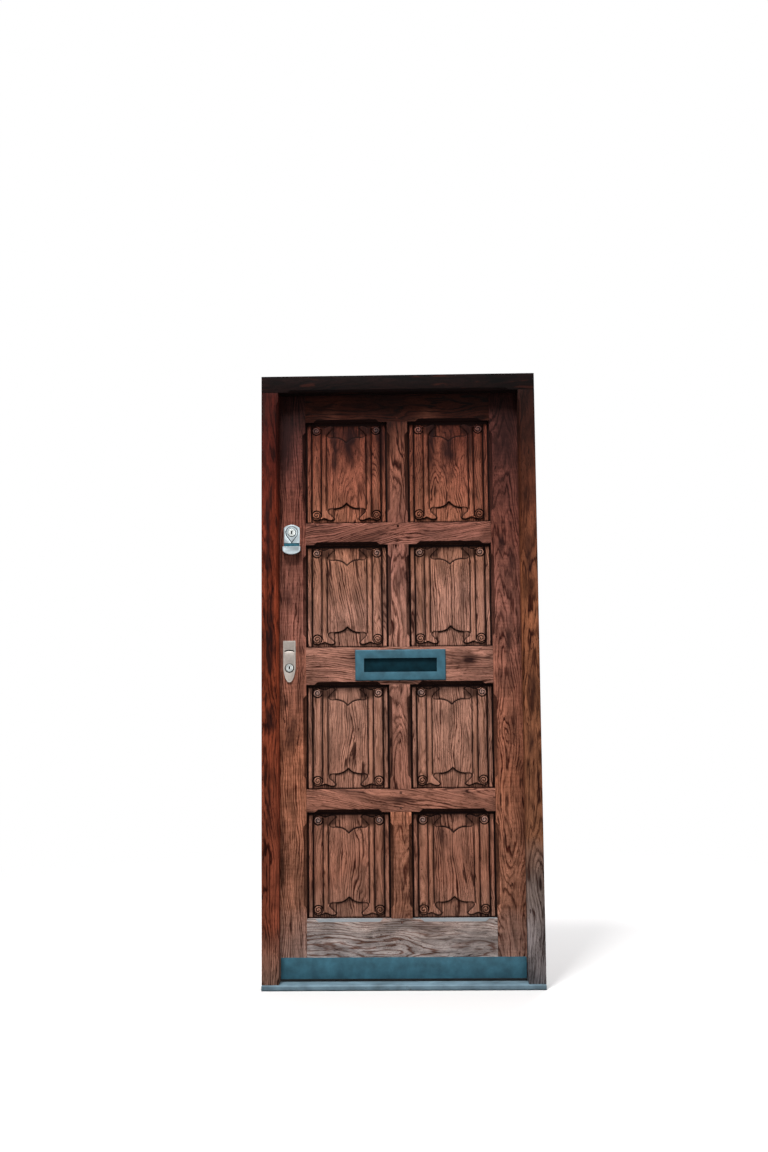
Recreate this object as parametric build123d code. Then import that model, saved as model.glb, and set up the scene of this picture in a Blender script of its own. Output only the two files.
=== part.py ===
from build123d import *
from math import cos, radians, sin
import os

os.makedirs("parts", exist_ok=True)

# Panelled oak front door in its frame. Millimetres, +Z up, the outside faces -Y, the house is +Y.
# The origin is the centre of the threshold's underside.

# Leaf
leaf_width = 838
leaf_height = 1981
leaf_thickness = 44
lock_stile_width = 98
hinge_stile_width = 105
muntin_width = 71
bottom_rail_height = 194
lower_rail_height = 76
lock_rail_height = 127
upper_rail_height = 76
top_rail_height = 104

# Frame and threshold
frame_depth = 95
frame_face = 57
rebate_width = 12
rebate_depth = 45.5
leaf_gap = 3
stop_gap = 0.5
threshold_thickness = 18
threshold_nose = 6
foot_gap = 9
fixing_hole_radius = 4
fixing_hole_height = 500
fixing_hole_spacing = 1150

# Joints of the timber
tenon_thickness = 15
tenon_shoulder = 12
long_tenon = 62
short_tenon = 28
muntin_tenon = 26
jamb_tenon = 30
jamb_tenon_depth = 20
mortise_end_gap = 0.5
peg_width = 8
peg_length = 36

# Stopped chamfers
chamfer_width = 10
chamfer_run_out = 12
rail_chamfer_stop = 27
stile_chamfer_stop = 34
frame_chamfer_width = 8
frame_chamfer_top_stop = 30
frame_chamfer_foot_stop = 80

# Panels and their grooves
groove_depth = 10
groove_width = 10
tongue_play = 0.2
tongue_end_gap = 0.8
border_strip_gap = 7
border_strip_width = 13
border_strip_height = 5
scroll_gap = 4.5
roll_width = 32.5
roll_swell = 6
scroll_radius = 13.5
bay_width = 17
crease_width = 2
crease_depth = 3
fold_width = 14
fold_height = 8
fold_swell = 2
field_crest = 8
field_hollow = 3.3
field_edge = 6.5
apex_rise = 67
apex_hollow = 2.5
shoulder_half_width = 34
shoulder_rise = 49.5
bay_rise = 46
bay_inset = 2
bay_curl = 10
hook_top_rise = 25
hook_rise = 14.5
hook_curl = 3
wave_rise = 15
wave_start = 2
wave_curl = 3.5
scroll_rise = 24
carving_root = 1

# Kick plate across the foot of the leaf
kick_plate_height = 69
kick_plate_thickness = 3
kick_plate_side_gap = 2

# Letter plate
letter_plate_side = 30.5
letter_plate_border = 29.5
letter_plate_thickness = 7
letter_plate_bevel = 3
letter_plate_lift = 2
aperture_width = 246
aperture_height = 46
aperture_margin = 8
flap_overlap = 3.5
flap_thickness = 2
flap_gap = 0.5
flap_lug_reach = 3
flap_trunnion_radius = 1.5
flap_lug_thickness = 3
flap_axis_setback = 4
flap_axis_drop = 1
inner_frame_thickness = 3

# Hinges
hinge_height = 102
hinge_flap_width = 30
hinge_flap_thickness = 2.5
hinge_knuckle_radius = 6
hinge_pin_radius = 3
hinge_knuckle_gap = 0.3
hinge_pin_cover = 4
top_hinge_drop = 150
bottom_hinge_rise = 225

# Night latch on the upper part of the lock stile
pull_width = 54
pull_above_axis = 27
pull_arch = 11
pull_plate_thickness = 5
band_below_axis = 36
band_height = 13
band_recess = 1.5
lip_width = 60
lip_height = 27
lip_projection = 20
lip_bevel = 3
lip_straight = 11
shield_radius = 17
shield_point_drop = 32
shield_thickness = 2
shield_spread = 114
latch_axis_in = 50.5
latch_above_rail = 44
rim_radius = 12.5
rim_proud = 3
plug_radius = 7
plug_length = 24
plug_tail_root = 4
plug_tail_width = 3
plug_tail_height = 6
plug_tail_reach = 12
keyway_width = 1.6
keyway_height = 8
keyway_depth = 12
latch_case_width = 88
latch_case_height = 70
latch_case_depth = 26
case_wall = 2.5
spindle_radius = 4
latch_bolt_height = 22
latch_bolt_thickness = 16
latch_bolt_length = 40
latch_bolt_setback = 1
latch_bolt_bevel = 11
latch_knob_reach = 15
latch_knob_wing_thickness = 8
latch_knob_length = 18
latch_knob_collar = 4
latch_knob_tail = 4.5
latch_knob_in = 62
snib_width = 8
snib_height = 10
snib_depth = 5
snib_travel = 8
snib_rise = 14
keep_width = 28
keep_height = 66
keep_flange = 16

# Deadlock in the middle of the lock stile
cover_width = 42
cover_above_axis = 92
cover_flank_above_axis = 2
cover_below_axis = 49
cover_thickness = 5
cover_bevel = 1
cover_tip_half_width = 7
cover_tip_arch = 3
cover_flank_bow = 4
cover_notch_above_axis = 58
cover_notch_half_width = 16
cover_notch_arch = 7
cover_notch_height = 3
cover_notch_depth = 1.5
deadlock_axis_in = 41.5
deadlock_below_rail_middle = 4.5
deadlock_cylinder_radius = 13
deadlock_cylinder_proud = 1.5
deadlock_case_depth = 62
deadlock_case_thickness = 15
deadlock_case_height = 112
deadlock_case_below_axis = 33
deadbolt_height = 25
deadbolt_thickness = 10
deadbolt_length = 55
deadbolt_above_axis = 47
deadbolt_setback = 0.5
faceplate_width = 22
faceplate_height = 150
faceplate_thickness = 3
strike_width = 25
strike_height = 120
strike_thickness = 2.5
strike_pocket_depth = 18
turn_plate_width = 42
turn_plate_height = 80
turn_plate_thickness = 4
turn_length = 22
turn_collar = 4
turn_spindle_length = 18
turn_wing_length = 34
turn_wing_thickness = 8

# Clearances of what slides and turns
running_clearance = 0.05
sliding_clearance = 0.3
fit_clearance = 0.5

# Places worked out from the sizes above
frame_front = -frame_depth / 2
frame_back = frame_depth / 2
stop_back = frame_back - rebate_depth
leaf_front = stop_back + stop_gap
leaf_back = leaf_front + leaf_thickness
leaf_middle = (leaf_front + leaf_back) / 2
leaf_foot = threshold_thickness + foot_gap
leaf_top = leaf_foot + leaf_height
leaf_edge = leaf_width / 2
rebate_face = leaf_edge + leaf_gap
stop_face = rebate_face - rebate_width
frame_outside = stop_face + frame_face
rebate_soffit = leaf_top + leaf_gap
stop_soffit = rebate_soffit - rebate_width
head_top = stop_soffit + frame_face

opening_width = (leaf_width - lock_stile_width - hinge_stile_width - muntin_width) / 2
rail_heights = [bottom_rail_height, lower_rail_height, lock_rail_height, upper_rail_height, top_rail_height]
opening_height = (leaf_height - sum(rail_heights)) / 4
lock_stile_in = -leaf_edge + lock_stile_width
hinge_stile_in = leaf_edge - hinge_stile_width
muntin_left = lock_stile_in + opening_width
muntin_right = muntin_left + muntin_width
muntin_middle = (muntin_left + muntin_right) / 2
opening_lefts = {"left": lock_stile_in, "right": muntin_right}
row_names = ["bottom", "lower", "upper", "top"]

rail_foots = []
opening_foots = []
level = leaf_foot
for rail_height in rail_heights:
    rail_foots.append(level)
    opening_foots.append(level + rail_height)
    level += rail_height + opening_height
opening_foots.pop()


def block(x0, x1, y0, y1, z0, z1):
    """A box between two corners."""
    return Pos((x0 + x1) / 2, (y0 + y1) / 2, (z0 + z1) / 2) * Box(x1 - x0, y1 - y0, z1 - z0)


def facing_out(x, y, z):
    """A plane at a point, looking out of the house: its x is X, its y is Z."""
    return Plane(origin=(x, y, z), x_dir=(1, 0, 0), z_dir=(0, -1, 0))


def rod(x, y0, y1, z, radius):
    """A round bar that runs from the outside to the inside."""
    return extrude(facing_out(x, y1, z) * Circle(radius), amount=y1 - y0)


def save(name, shape):
    export_step(shape, "parts/" + name + ".step")


def group(solids):
    return Compound(children=list(solids))


def bowed(start, end, bulge, cuts):
    """Points of a round stretch, carved in a few flat cuts. bulge is its rise to the left of the way."""
    x0, y0 = start
    x1, y1 = end
    length = ((x1 - x0) ** 2 + (y1 - y0) ** 2) ** 0.5
    points = []
    for cut in range(1, cuts + 1):
        share = cut / cuts
        rise = bulge * (1 - (2 * share - 1) ** 2)
        points.append((
            x0 + (x1 - x0) * share - (y1 - y0) / length * rise,
            y0 + (y1 - y0) * share + (x1 - x0) / length * rise,
        ))
    return points


def round_rim(x, y, radius, first_angle, last_angle, cuts):
    """Points round a centre, from one angle in degrees to the other."""
    points = []
    for cut in range(cuts + 1):
        angle = radians(first_angle + (last_angle - first_angle) * cut / cuts)
        points.append((x + radius * cos(angle), y + radius * sin(angle)))
    return points


def stopped_chamfer(start, end, side, width, start_stop, end_stop):
    """The wood that a stopped chamfer takes off a front arris. side points from the arris into the wood."""
    start = Vector(start)
    end = Vector(end)
    along = (end - start).normalized()
    across = Vector(side) * width
    inward = Vector(0, width, 0)
    first = start + along * start_stop
    last = end - along * end_stop
    full_first = first + along * chamfer_run_out
    full_last = last - along * chamfer_run_out
    return ConvexPolyhedron([
        first,
        last,
        full_first + across,
        full_last + across,
        full_first + inward,
        full_last + inward,
    ])


def opening_chamfers(x0, z0):
    """The four stopped chamfers round one panel opening."""
    x1 = x0 + opening_width
    z1 = z0 + opening_height
    y = leaf_front
    stile_stops = (chamfer_width, stile_chamfer_stop, stile_chamfer_stop)
    rail_stops = (chamfer_width, rail_chamfer_stop, rail_chamfer_stop)
    return [
        stopped_chamfer((x0, y, z0), (x0, y, z1), (-1, 0, 0), *stile_stops),
        stopped_chamfer((x1, y, z0), (x1, y, z1), (1, 0, 0), *stile_stops),
        stopped_chamfer((x0, y, z0), (x1, y, z0), (0, 0, -1), *rail_stops),
        stopped_chamfer((x0, y, z1), (x1, y, z1), (0, 0, 1), *rail_stops),
    ]


chamfers = []
panel_grooves = []
for x in opening_lefts.values():
    for z in opening_foots:
        chamfers += opening_chamfers(x, z)
        panel_grooves.append(block(
            x - groove_depth,
            x + opening_width + groove_depth,
            leaf_middle - groove_width / 2,
            leaf_middle + groove_width / 2,
            z - groove_depth,
            z + opening_height + groove_depth,
        ))


def rail_tenons(index, end_gap):
    """The two tenons of a rail. The lock rails have short ones towards the locks."""
    z0 = rail_foots[index] + tenon_shoulder
    z1 = rail_foots[index] + rail_heights[index] - tenon_shoulder
    lock_side = short_tenon if index in (2, 3) else long_tenon
    y0 = leaf_middle - tenon_thickness / 2
    y1 = leaf_middle + tenon_thickness / 2
    return [
        block(lock_stile_in - lock_side - end_gap, lock_stile_in, y0, y1, z0, z1),
        block(hinge_stile_in, hinge_stile_in + long_tenon + end_gap, y0, y1, z0, z1),
    ]


def muntin_tenons(row, end_gap):
    """The stub tenons at the foot and the head of a muntin."""
    x0 = muntin_left + tenon_shoulder
    x1 = muntin_right - tenon_shoulder
    y0 = leaf_middle - tenon_thickness / 2
    y1 = leaf_middle + tenon_thickness / 2
    foot = opening_foots[row]
    head = foot + opening_height
    return [
        block(x0, x1, y0, y1, foot - muntin_tenon - end_gap, foot),
        block(x0, x1, y0, y1, head, head + muntin_tenon + end_gap),
    ]


all_mortises = []
for index in range(len(rail_heights)):
    all_mortises += rail_tenons(index, mortise_end_gap)
muntin_mortises = []
for row in range(len(row_names)):
    muntin_mortises += muntin_tenons(row, mortise_end_gap)


def peg(z):
    """A square oak peg, driven from the front through a muntin's tenon."""
    half = peg_width / 2
    x = muntin_middle
    return block(x - half, x + half, leaf_front, leaf_front + peg_length, z - half, z + half)


pegs = []
for foot in opening_foots:
    pegs.append(peg(foot - muntin_tenon / 2))
    pegs.append(peg(foot + opening_height + muntin_tenon / 2))

# Frame: two rebated jambs tenoned into the head, and the threshold that they stand on
jamb_tenon_middle = (frame_front + stop_back) / 2


def jamb(side):
    """A jamb. side is -1 for the lock side and 1 for the hinge side."""

    def piece(inner, y0, y1, z0, z1):
        low, high = sorted((side * inner, side * frame_outside))
        return block(low, high, y0, y1, z0, z1)

    stop = piece(stop_face, frame_front, stop_back, threshold_thickness, stop_soffit)
    rebated = piece(rebate_face, stop_back, frame_back, threshold_thickness, rebate_soffit)
    low, high = sorted((side * (stop_face + tenon_shoulder), side * (frame_outside - tenon_shoulder)))
    tenon = block(
        low,
        high,
        jamb_tenon_middle - jamb_tenon_depth / 2,
        jamb_tenon_middle + jamb_tenon_depth / 2,
        stop_soffit,
        stop_soffit + jamb_tenon,
    )
    arris = stopped_chamfer(
        (side * stop_face, frame_front, threshold_thickness),
        (side * stop_face, frame_front, stop_soffit),
        (side, 0, 0),
        frame_chamfer_width,
        frame_chamfer_foot_stop,
        frame_chamfer_top_stop,
    )
    shape = stop + rebated + tenon - arris
    for z in (fixing_hole_height, fixing_hole_height + fixing_hole_spacing):
        middle = side * (rebate_face + frame_outside) / 2
        hole = Pos(middle, (stop_back + frame_back) / 2, z) * Rot(0, 90, 0) * Cylinder(
            fixing_hole_radius, 2 * frame_face
        )
        shape -= hole
    return shape, tenon


lock_jamb, lock_jamb_tenon = jamb(-1)
hinge_jamb, hinge_jamb_tenon = jamb(1)

frame_head = block(-frame_outside, frame_outside, frame_front, stop_back, stop_soffit, head_top)
frame_head += block(-frame_outside, frame_outside, stop_back, frame_back, rebate_soffit, head_top)
frame_head -= lock_jamb_tenon
frame_head -= hinge_jamb_tenon
frame_head -= stopped_chamfer(
    (-stop_face, frame_front, stop_soffit),
    (stop_face, frame_front, stop_soffit),
    (0, 0, 1),
    frame_chamfer_width,
    frame_chamfer_top_stop,
    frame_chamfer_top_stop,
)

threshold_front = frame_front - threshold_nose
threshold = block(-frame_outside, frame_outside, threshold_front, frame_back, 0, threshold_thickness)
nose_edges = threshold.edges().filter_by(Axis.X).group_by(Axis.Y)[0]
threshold = chamfer(nose_edges, length=threshold_nose / 2)

# Hinges: three butts let into the jamb and the hinge edge of the leaf
hinge_axis_x = leaf_edge + leaf_gap / 2
hinge_axis_y = leaf_back + hinge_knuckle_radius
lowest_hinge = leaf_foot + bottom_hinge_rise
highest_hinge = leaf_top - top_hinge_drop - hinge_height
hinge_foots = [lowest_hinge, (lowest_hinge + highest_hinge) / 2, highest_hinge]
knuckle_height = (hinge_height - hinge_knuckle_gap) / 2


def hinge_bar(z0, z1, radius):
    return Pos(hinge_axis_x, hinge_axis_y, (z0 + z1) / 2) * Cylinder(radius, z1 - z0)


def hinge_flap(foot, x0, x1, knuckle_foot):
    """A flap let in flush, with its one knuckle curled round the axis."""
    knuckle_top = knuckle_foot + knuckle_height
    plate = block(x0, x1, leaf_back - hinge_flap_width, leaf_back, foot, foot + hinge_height)
    curl = block(x0, x1, leaf_back, hinge_axis_y, knuckle_foot, knuckle_top)
    return plate + curl + hinge_bar(knuckle_foot, knuckle_top, hinge_knuckle_radius)


def jamb_hinge_flap(foot):
    """The fixed half: the lower knuckle, with the pin standing out of it."""
    pin_top = foot + hinge_height - hinge_pin_cover
    flap = hinge_flap(foot, rebate_face, rebate_face + hinge_flap_thickness, foot)
    return flap + hinge_bar(foot + knuckle_height, pin_top, hinge_pin_radius)


def leaf_hinge_flap(foot):
    """The moving half: the upper knuckle, bored from below to ride on the pin."""
    knuckle_foot = foot + knuckle_height + hinge_knuckle_gap
    flap = hinge_flap(foot, leaf_edge - hinge_flap_thickness, leaf_edge, knuckle_foot)
    bore_top = foot + hinge_height - hinge_pin_cover + hinge_knuckle_gap
    return flap - hinge_bar(knuckle_foot, bore_top, hinge_pin_radius + running_clearance)


leaf_flap_in = leaf_edge - hinge_flap_thickness
jamb_flap_out = rebate_face + hinge_flap_thickness
flap_back = leaf_back - hinge_flap_width
jamb_flaps = []
leaf_flaps = []
leaf_flap_recesses = []
jamb_flap_recesses = []
for foot in hinge_foots:
    jamb_flaps.append(jamb_hinge_flap(foot))
    leaf_flaps.append(leaf_hinge_flap(foot))
    jamb_flap_recesses.append(
        block(rebate_face, jamb_flap_out, flap_back, frame_back, foot, foot + hinge_height)
    )
    leaf_flap_recesses.append(
        block(leaf_flap_in, leaf_edge, flap_back, leaf_back, foot, foot + hinge_height)
    )
save("jamb_hinge_flaps", group(jamb_flaps))
save("leaf_hinge_flaps", group(leaf_flaps))

# Linenfold panel: a tongued board whose front is carved as a folded cloth with scrolled ends
half_opening = opening_width / 2
roll_outside = half_opening - border_strip_gap - border_strip_width - scroll_gap
roll_inside = roll_outside - roll_width
fold_outside = roll_inside - crease_width
fold_inside = fold_outside - fold_width
field_half = fold_inside - crease_width
scroll_middle = roll_outside - scroll_radius


def carving_section():
    """Half of the cloth's cross-section: the hollow field, the narrow fold and the outer roll."""
    fold_side = fold_height - fold_swell
    crease_floor = fold_side - crease_depth
    points = [(0, -carving_root), (0, field_crest)]
    points += bowed(points[-1], (field_half, field_edge), -field_hollow, 2)
    points += [(field_half + crease_width / 2, crease_floor), (fold_inside, fold_side)]
    points += bowed(points[-1], (fold_outside, fold_side), fold_swell, 2)
    points += [(fold_outside + crease_width / 2, crease_floor), (roll_inside, fold_side)]
    points += bowed(points[-1], (roll_outside, border_strip_height / 2), roll_swell, 3)
    points += [(roll_outside, -carving_root)]
    return make_face(Polyline(*points, close=True))


def cloth_end():
    """A quarter of the cloth's outline: the middle arch, the bay, the hook, the wave and the scroll."""
    shoulder = (shoulder_half_width, shoulder_rise)
    bay_top = (field_half - bay_inset, bay_rise)
    hook_top = (field_half - bay_width, hook_top_rise)
    hook_foot = (field_half - bay_width, hook_rise)
    wave_foot = (field_half + wave_start, wave_rise)
    scroll = round_rim(scroll_middle, scroll_rise, scroll_radius, 225, 360, 3)
    points = [(0, apex_rise)]
    points += bowed(points[-1], shoulder, -apex_hollow, 2)
    points += [bay_top]
    points += bowed(bay_top, hook_top, bay_curl, 2)
    points += [hook_foot]
    points += bowed(hook_foot, wave_foot, -hook_curl, 2)
    points += bowed(wave_foot, scroll[0], wave_curl, 2)
    points += scroll[1:]
    points += [(roll_outside, opening_height / 2), (0, opening_height / 2)]
    return make_face(Polyline(*points, close=True))


def linenfold_panel(x0, z0):
    """A panel for the opening whose lower left corner is at x0, z0."""
    ground = leaf_middle - groove_width / 2 + tongue_play
    middle = x0 + half_opening
    reach = groove_depth - tongue_end_gap
    board = block(
        x0 - reach,
        x0 + opening_width + reach,
        ground,
        leaf_middle + groove_width / 2 - tongue_play,
        z0 - reach,
        z0 + opening_height + reach,
    )
    half_section = mirror(carving_section(), about=Plane.XZ)
    fold = extrude(half_section + mirror(half_section, about=Plane.YZ), amount=opening_height)
    quarter = Plane.XZ * cloth_end()
    half_outline = quarter + mirror(quarter, about=Plane.YZ)
    outline = half_outline + mirror(half_outline, about=Plane.XY.offset(opening_height / 2))
    cloth = fold & extrude(outline, amount=2 * fold_height, both=True)
    panel = board + Pos(middle, ground, z0) * cloth
    strip_outside = half_opening - border_strip_gap
    for side in (-1, 1):
        low, high = sorted((side * strip_outside, side * (strip_outside - border_strip_width)))
        panel += block(
            middle + low,
            middle + high,
            ground - border_strip_height,
            ground,
            z0 + tongue_end_gap,
            z0 + opening_height - tongue_end_gap,
        )
    return panel


# Night latch: cylinder pull outside, rim latch inside, its keep on the jamb
latch_x = -leaf_edge + latch_axis_in
latch_z = rail_foots[3] + latch_above_rail
pull_front = leaf_front - pull_plate_thickness
band_top = latch_z - band_below_axis
band_foot = band_top - band_height


def pull_outline():
    """The plate, with a low arch at its top."""
    top = latch_z + pull_above_axis
    shoulder = top - pull_arch
    foot = band_foot - band_recess
    half = pull_width / 2
    points = [(half, shoulder)]
    points += bowed((half, shoulder), (-half, shoulder), -pull_arch, 5)
    points += [(-half, foot), (half, foot)]
    return make_face(Polyline(*points, close=True))


def lip_outline():
    """The finger lip, with a round foot."""
    foot = band_foot - lip_height
    side = band_foot - lip_straight
    half = lip_width / 2
    points = [(-half, band_foot), (-half, side)]
    points += bowed((-half, side), (half, side), foot - side, 5)
    points += [(half, band_foot)]
    return make_face(Polyline(*points, close=True))


def shield_outline():
    """The raised shield round the cylinder, with a point below."""
    points = round_rim(0, latch_z, shield_radius, 90 - shield_spread, 90 + shield_spread, 5)
    points += [(0, latch_z - shield_point_drop)]
    return make_face(Polyline(*points, close=True))


pull = extrude(facing_out(latch_x, leaf_front, 0) * pull_outline(), amount=pull_plate_thickness)
pull += extrude(facing_out(latch_x, pull_front, 0) * shield_outline(), amount=shield_thickness)
pull -= block(
    latch_x - pull_width,
    latch_x + pull_width,
    pull_front - shield_thickness,
    pull_front + band_recess,
    band_foot - band_recess,
    band_top,
)
lip = extrude(facing_out(latch_x, leaf_front, 0) * lip_outline(), amount=lip_projection)
lip = chamfer(lip.faces().sort_by(Axis.Y)[0].edges(), length=lip_bevel)
pull += lip
pull -= rod(latch_x, pull_front - shield_thickness, leaf_front, latch_z, rim_radius)
save("cylinder_pull", pull)

rim_front = pull_front - rim_proud
plug_bore = plug_radius + running_clearance
rim_cylinder = rod(latch_x, rim_front, leaf_back, latch_z, rim_radius)
rim_cylinder -= rod(latch_x, rim_front, leaf_back, latch_z, plug_bore)


def key_plug(x, front, z):
    """The turning barrel of a lock, with its keyway."""
    plug = rod(x, front, front + plug_length - running_clearance, z, plug_radius)
    return plug - block(
        x - keyway_width / 2,
        x + keyway_width / 2,
        front,
        front + keyway_depth,
        z - keyway_height / 2,
        z + keyway_height / 2,
    )


latch_key_plug = key_plug(latch_x, rim_front, latch_z)
latch_key_plug += block(
    latch_x - plug_tail_width / 2,
    latch_x + plug_tail_width / 2,
    rim_front + plug_length - plug_tail_root,
    leaf_back + plug_tail_reach,
    latch_z - plug_tail_height / 2,
    latch_z + plug_tail_height / 2,
)
save("latch_key_plug", latch_key_plug)

case_left = -leaf_edge
case_right = case_left + latch_case_width
case_front = leaf_back + latch_case_depth
latch_bolt_middle = leaf_back + latch_case_depth / 2
latch_case = block(
    case_left,
    case_right,
    leaf_back,
    case_front,
    latch_z - latch_case_height / 2,
    latch_z + latch_case_height / 2,
)
case_edges = latch_case.edges().group_by(Axis.Y)[-1]
latch_case = chamfer(case_edges, length=case_wall)
latch_case -= block(
    case_left + case_wall,
    case_right - case_wall,
    leaf_back,
    case_front - case_wall,
    latch_z - latch_case_height / 2 + case_wall,
    latch_z + latch_case_height / 2 - case_wall,
)


def latch_bolt_block(x0, x1, clearance):
    half_thickness = latch_bolt_thickness / 2 + clearance
    half_height = latch_bolt_height / 2 + clearance
    return block(
        x0,
        x1,
        latch_bolt_middle - half_thickness,
        latch_bolt_middle + half_thickness,
        latch_z - half_height,
        latch_z + half_height,
    )


latch_case -= latch_bolt_block(case_left, case_left + case_wall, sliding_clearance)
knob_x = case_left + latch_knob_in
latch_case -= rod(knob_x, case_front - case_wall, case_front, latch_z, spindle_radius + running_clearance)
snib_z = latch_z - latch_case_height / 2 + snib_rise
snib_stem_half = snib_width / 4
latch_case -= block(
    knob_x - snib_stem_half - sliding_clearance,
    knob_x + snib_stem_half + sliding_clearance,
    case_front - case_wall,
    case_front,
    snib_z - snib_stem_half - snib_travel - sliding_clearance,
    snib_z + snib_stem_half + sliding_clearance,
)
save("latch_case", latch_case)

latch_bolt_nose = case_left + latch_bolt_setback
latch_bolt = latch_bolt_block(latch_bolt_nose, latch_bolt_nose + latch_bolt_length, 0)
latch_bevel = latch_bolt.edges().filter_by(Axis.Z).group_by(Axis.X)[0].sort_by(Axis.Y)[-1]
latch_bolt = chamfer(latch_bevel, length=latch_bolt_bevel)
save("latch_bolt", latch_bolt)

collar_end = case_front + latch_knob_collar
latch_knob = rod(knob_x, case_front - latch_knob_tail, collar_end, latch_z, spindle_radius)
latch_knob += block(
    knob_x - latch_knob_reach,
    knob_x + latch_knob_reach,
    collar_end,
    case_front + latch_knob_length,
    latch_z - latch_knob_wing_thickness / 2,
    latch_z + latch_knob_wing_thickness / 2,
)
save("latch_knob", latch_knob)

latch_snib = block(
    knob_x - snib_width / 2,
    knob_x + snib_width / 2,
    case_front + sliding_clearance,
    case_front + snib_depth,
    snib_z - snib_height / 2,
    snib_z + snib_height / 2,
)
latch_snib += block(
    knob_x - snib_stem_half,
    knob_x + snib_stem_half,
    case_front - case_wall,
    case_front + sliding_clearance,
    snib_z - snib_stem_half,
    snib_z + snib_stem_half,
)
save("latch_snib", latch_snib)

# The keep is a box on the back of the jamb, open towards the leaf, with a flange above and below
keep_right = -rebate_face
keep_left = keep_right - keep_width
keep_front = frame_back + latch_case_depth - (frame_back - leaf_back)
latch_keep = block(
    keep_left,
    keep_right,
    frame_back,
    keep_front,
    latch_z - keep_height / 2,
    latch_z + keep_height / 2,
)
latch_keep -= block(
    keep_left + case_wall,
    keep_right,
    frame_back + case_wall,
    keep_front - case_wall,
    latch_z - keep_height / 2 + case_wall,
    latch_z + keep_height / 2 - case_wall,
)
flange_half = keep_height / 2 + keep_flange
latch_keep += block(
    keep_left,
    keep_right,
    frame_back,
    frame_back + case_wall,
    latch_z - flange_half,
    latch_z + flange_half,
)
save("latch_keep", latch_keep)

# Deadlock: case and bolt in the stile, cylinder between the cover outside and the thumb turn inside
deadlock_x = -leaf_edge + deadlock_axis_in
deadlock_z = rail_foots[2] + lock_rail_height / 2 - deadlock_below_rail_middle
cover_front = leaf_front - cover_thickness


def cover_outline():
    """A plate with a square top whose sides curve in to a round tip at the foot."""
    top = deadlock_z + cover_above_axis
    straight = deadlock_z + cover_flank_above_axis
    foot = deadlock_z - cover_below_axis
    half = cover_width / 2
    tip = (cover_tip_half_width, foot + cover_tip_arch)
    flank = [(half, straight)] + bowed((half, straight), tip, -cover_flank_bow, 3)
    points = [(-half, top), (half, top)] + flank + [(0, foot)]
    points += [(-x, z) for x, z in reversed(flank)]
    return make_face(Polyline(*points, close=True))


lock_cover = extrude(facing_out(deadlock_x, leaf_front, 0) * cover_outline(), amount=cover_thickness)
lock_cover = chamfer(lock_cover.faces().sort_by(Axis.Y)[0].edges(), length=cover_bevel)
notch_z = deadlock_z + cover_notch_above_axis
notch_end = (cover_notch_half_width, notch_z)
notch_start = (-cover_notch_half_width, notch_z)
notch_points = [notch_start]
notch_points += bowed(notch_start, notch_end, cover_notch_arch - cover_notch_height, 4)
notch_points += bowed(notch_end, notch_start, cover_notch_arch, 4)[:-1]
notch = make_face(Polyline(*notch_points, close=True))
notch_plane = facing_out(deadlock_x, cover_front + cover_notch_depth, 0)
lock_cover -= extrude(notch_plane * notch, amount=cover_thickness)
lock_cover -= rod(deadlock_x, cover_front, leaf_front, deadlock_z, deadlock_cylinder_radius)
save("deadlock_cover", lock_cover)

cylinder_front = cover_front - deadlock_cylinder_proud
deadlock_cylinder = rod(deadlock_x, cylinder_front, leaf_back, deadlock_z, deadlock_cylinder_radius)
deadlock_cylinder -= rod(deadlock_x, cylinder_front, leaf_back, deadlock_z, plug_bore)
save("key_cylinders", group([rim_cylinder, deadlock_cylinder]))
save("deadlock_key_plug", key_plug(deadlock_x, cylinder_front, deadlock_z))

turn_plate_back = leaf_back + turn_plate_thickness
turn_plate = block(
    deadlock_x - turn_plate_width / 2,
    deadlock_x + turn_plate_width / 2,
    leaf_back,
    turn_plate_back,
    deadlock_z - turn_plate_height / 2,
    deadlock_z + turn_plate_height / 2,
)
turn_plate = chamfer(turn_plate.edges().group_by(Axis.Y)[-1], length=turn_plate_thickness / 2)
turn_plate -= rod(deadlock_x, leaf_back, turn_plate_back, deadlock_z, spindle_radius + running_clearance)
save("thumb_turn_plate", turn_plate)

turn_collar_end = turn_plate_back + turn_collar
thumb_turn = rod(deadlock_x, leaf_back - turn_spindle_length, turn_collar_end, deadlock_z, spindle_radius)
thumb_turn += block(
    deadlock_x - turn_wing_thickness / 2,
    deadlock_x + turn_wing_thickness / 2,
    turn_collar_end,
    turn_plate_back + turn_length,
    deadlock_z - turn_wing_length / 2,
    deadlock_z + turn_wing_length / 2,
)
save("thumb_turn", thumb_turn)

deadlock_left = -leaf_edge + faceplate_thickness
deadlock_case_foot = deadlock_z - deadlock_case_below_axis
deadlock_case_box = block(
    deadlock_left,
    deadlock_left + deadlock_case_depth,
    leaf_middle - deadlock_case_thickness / 2,
    leaf_middle + deadlock_case_thickness / 2,
    deadlock_case_foot,
    deadlock_case_foot + deadlock_case_height,
)


def deadbolt_block(x0, x1, clearance):
    half = deadbolt_thickness / 2 + clearance
    z0 = deadlock_z + deadbolt_above_axis - clearance
    z1 = deadlock_z + deadbolt_above_axis + deadbolt_height + clearance
    return block(x0, x1, leaf_middle - half, leaf_middle + half, z0, z1)


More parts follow.
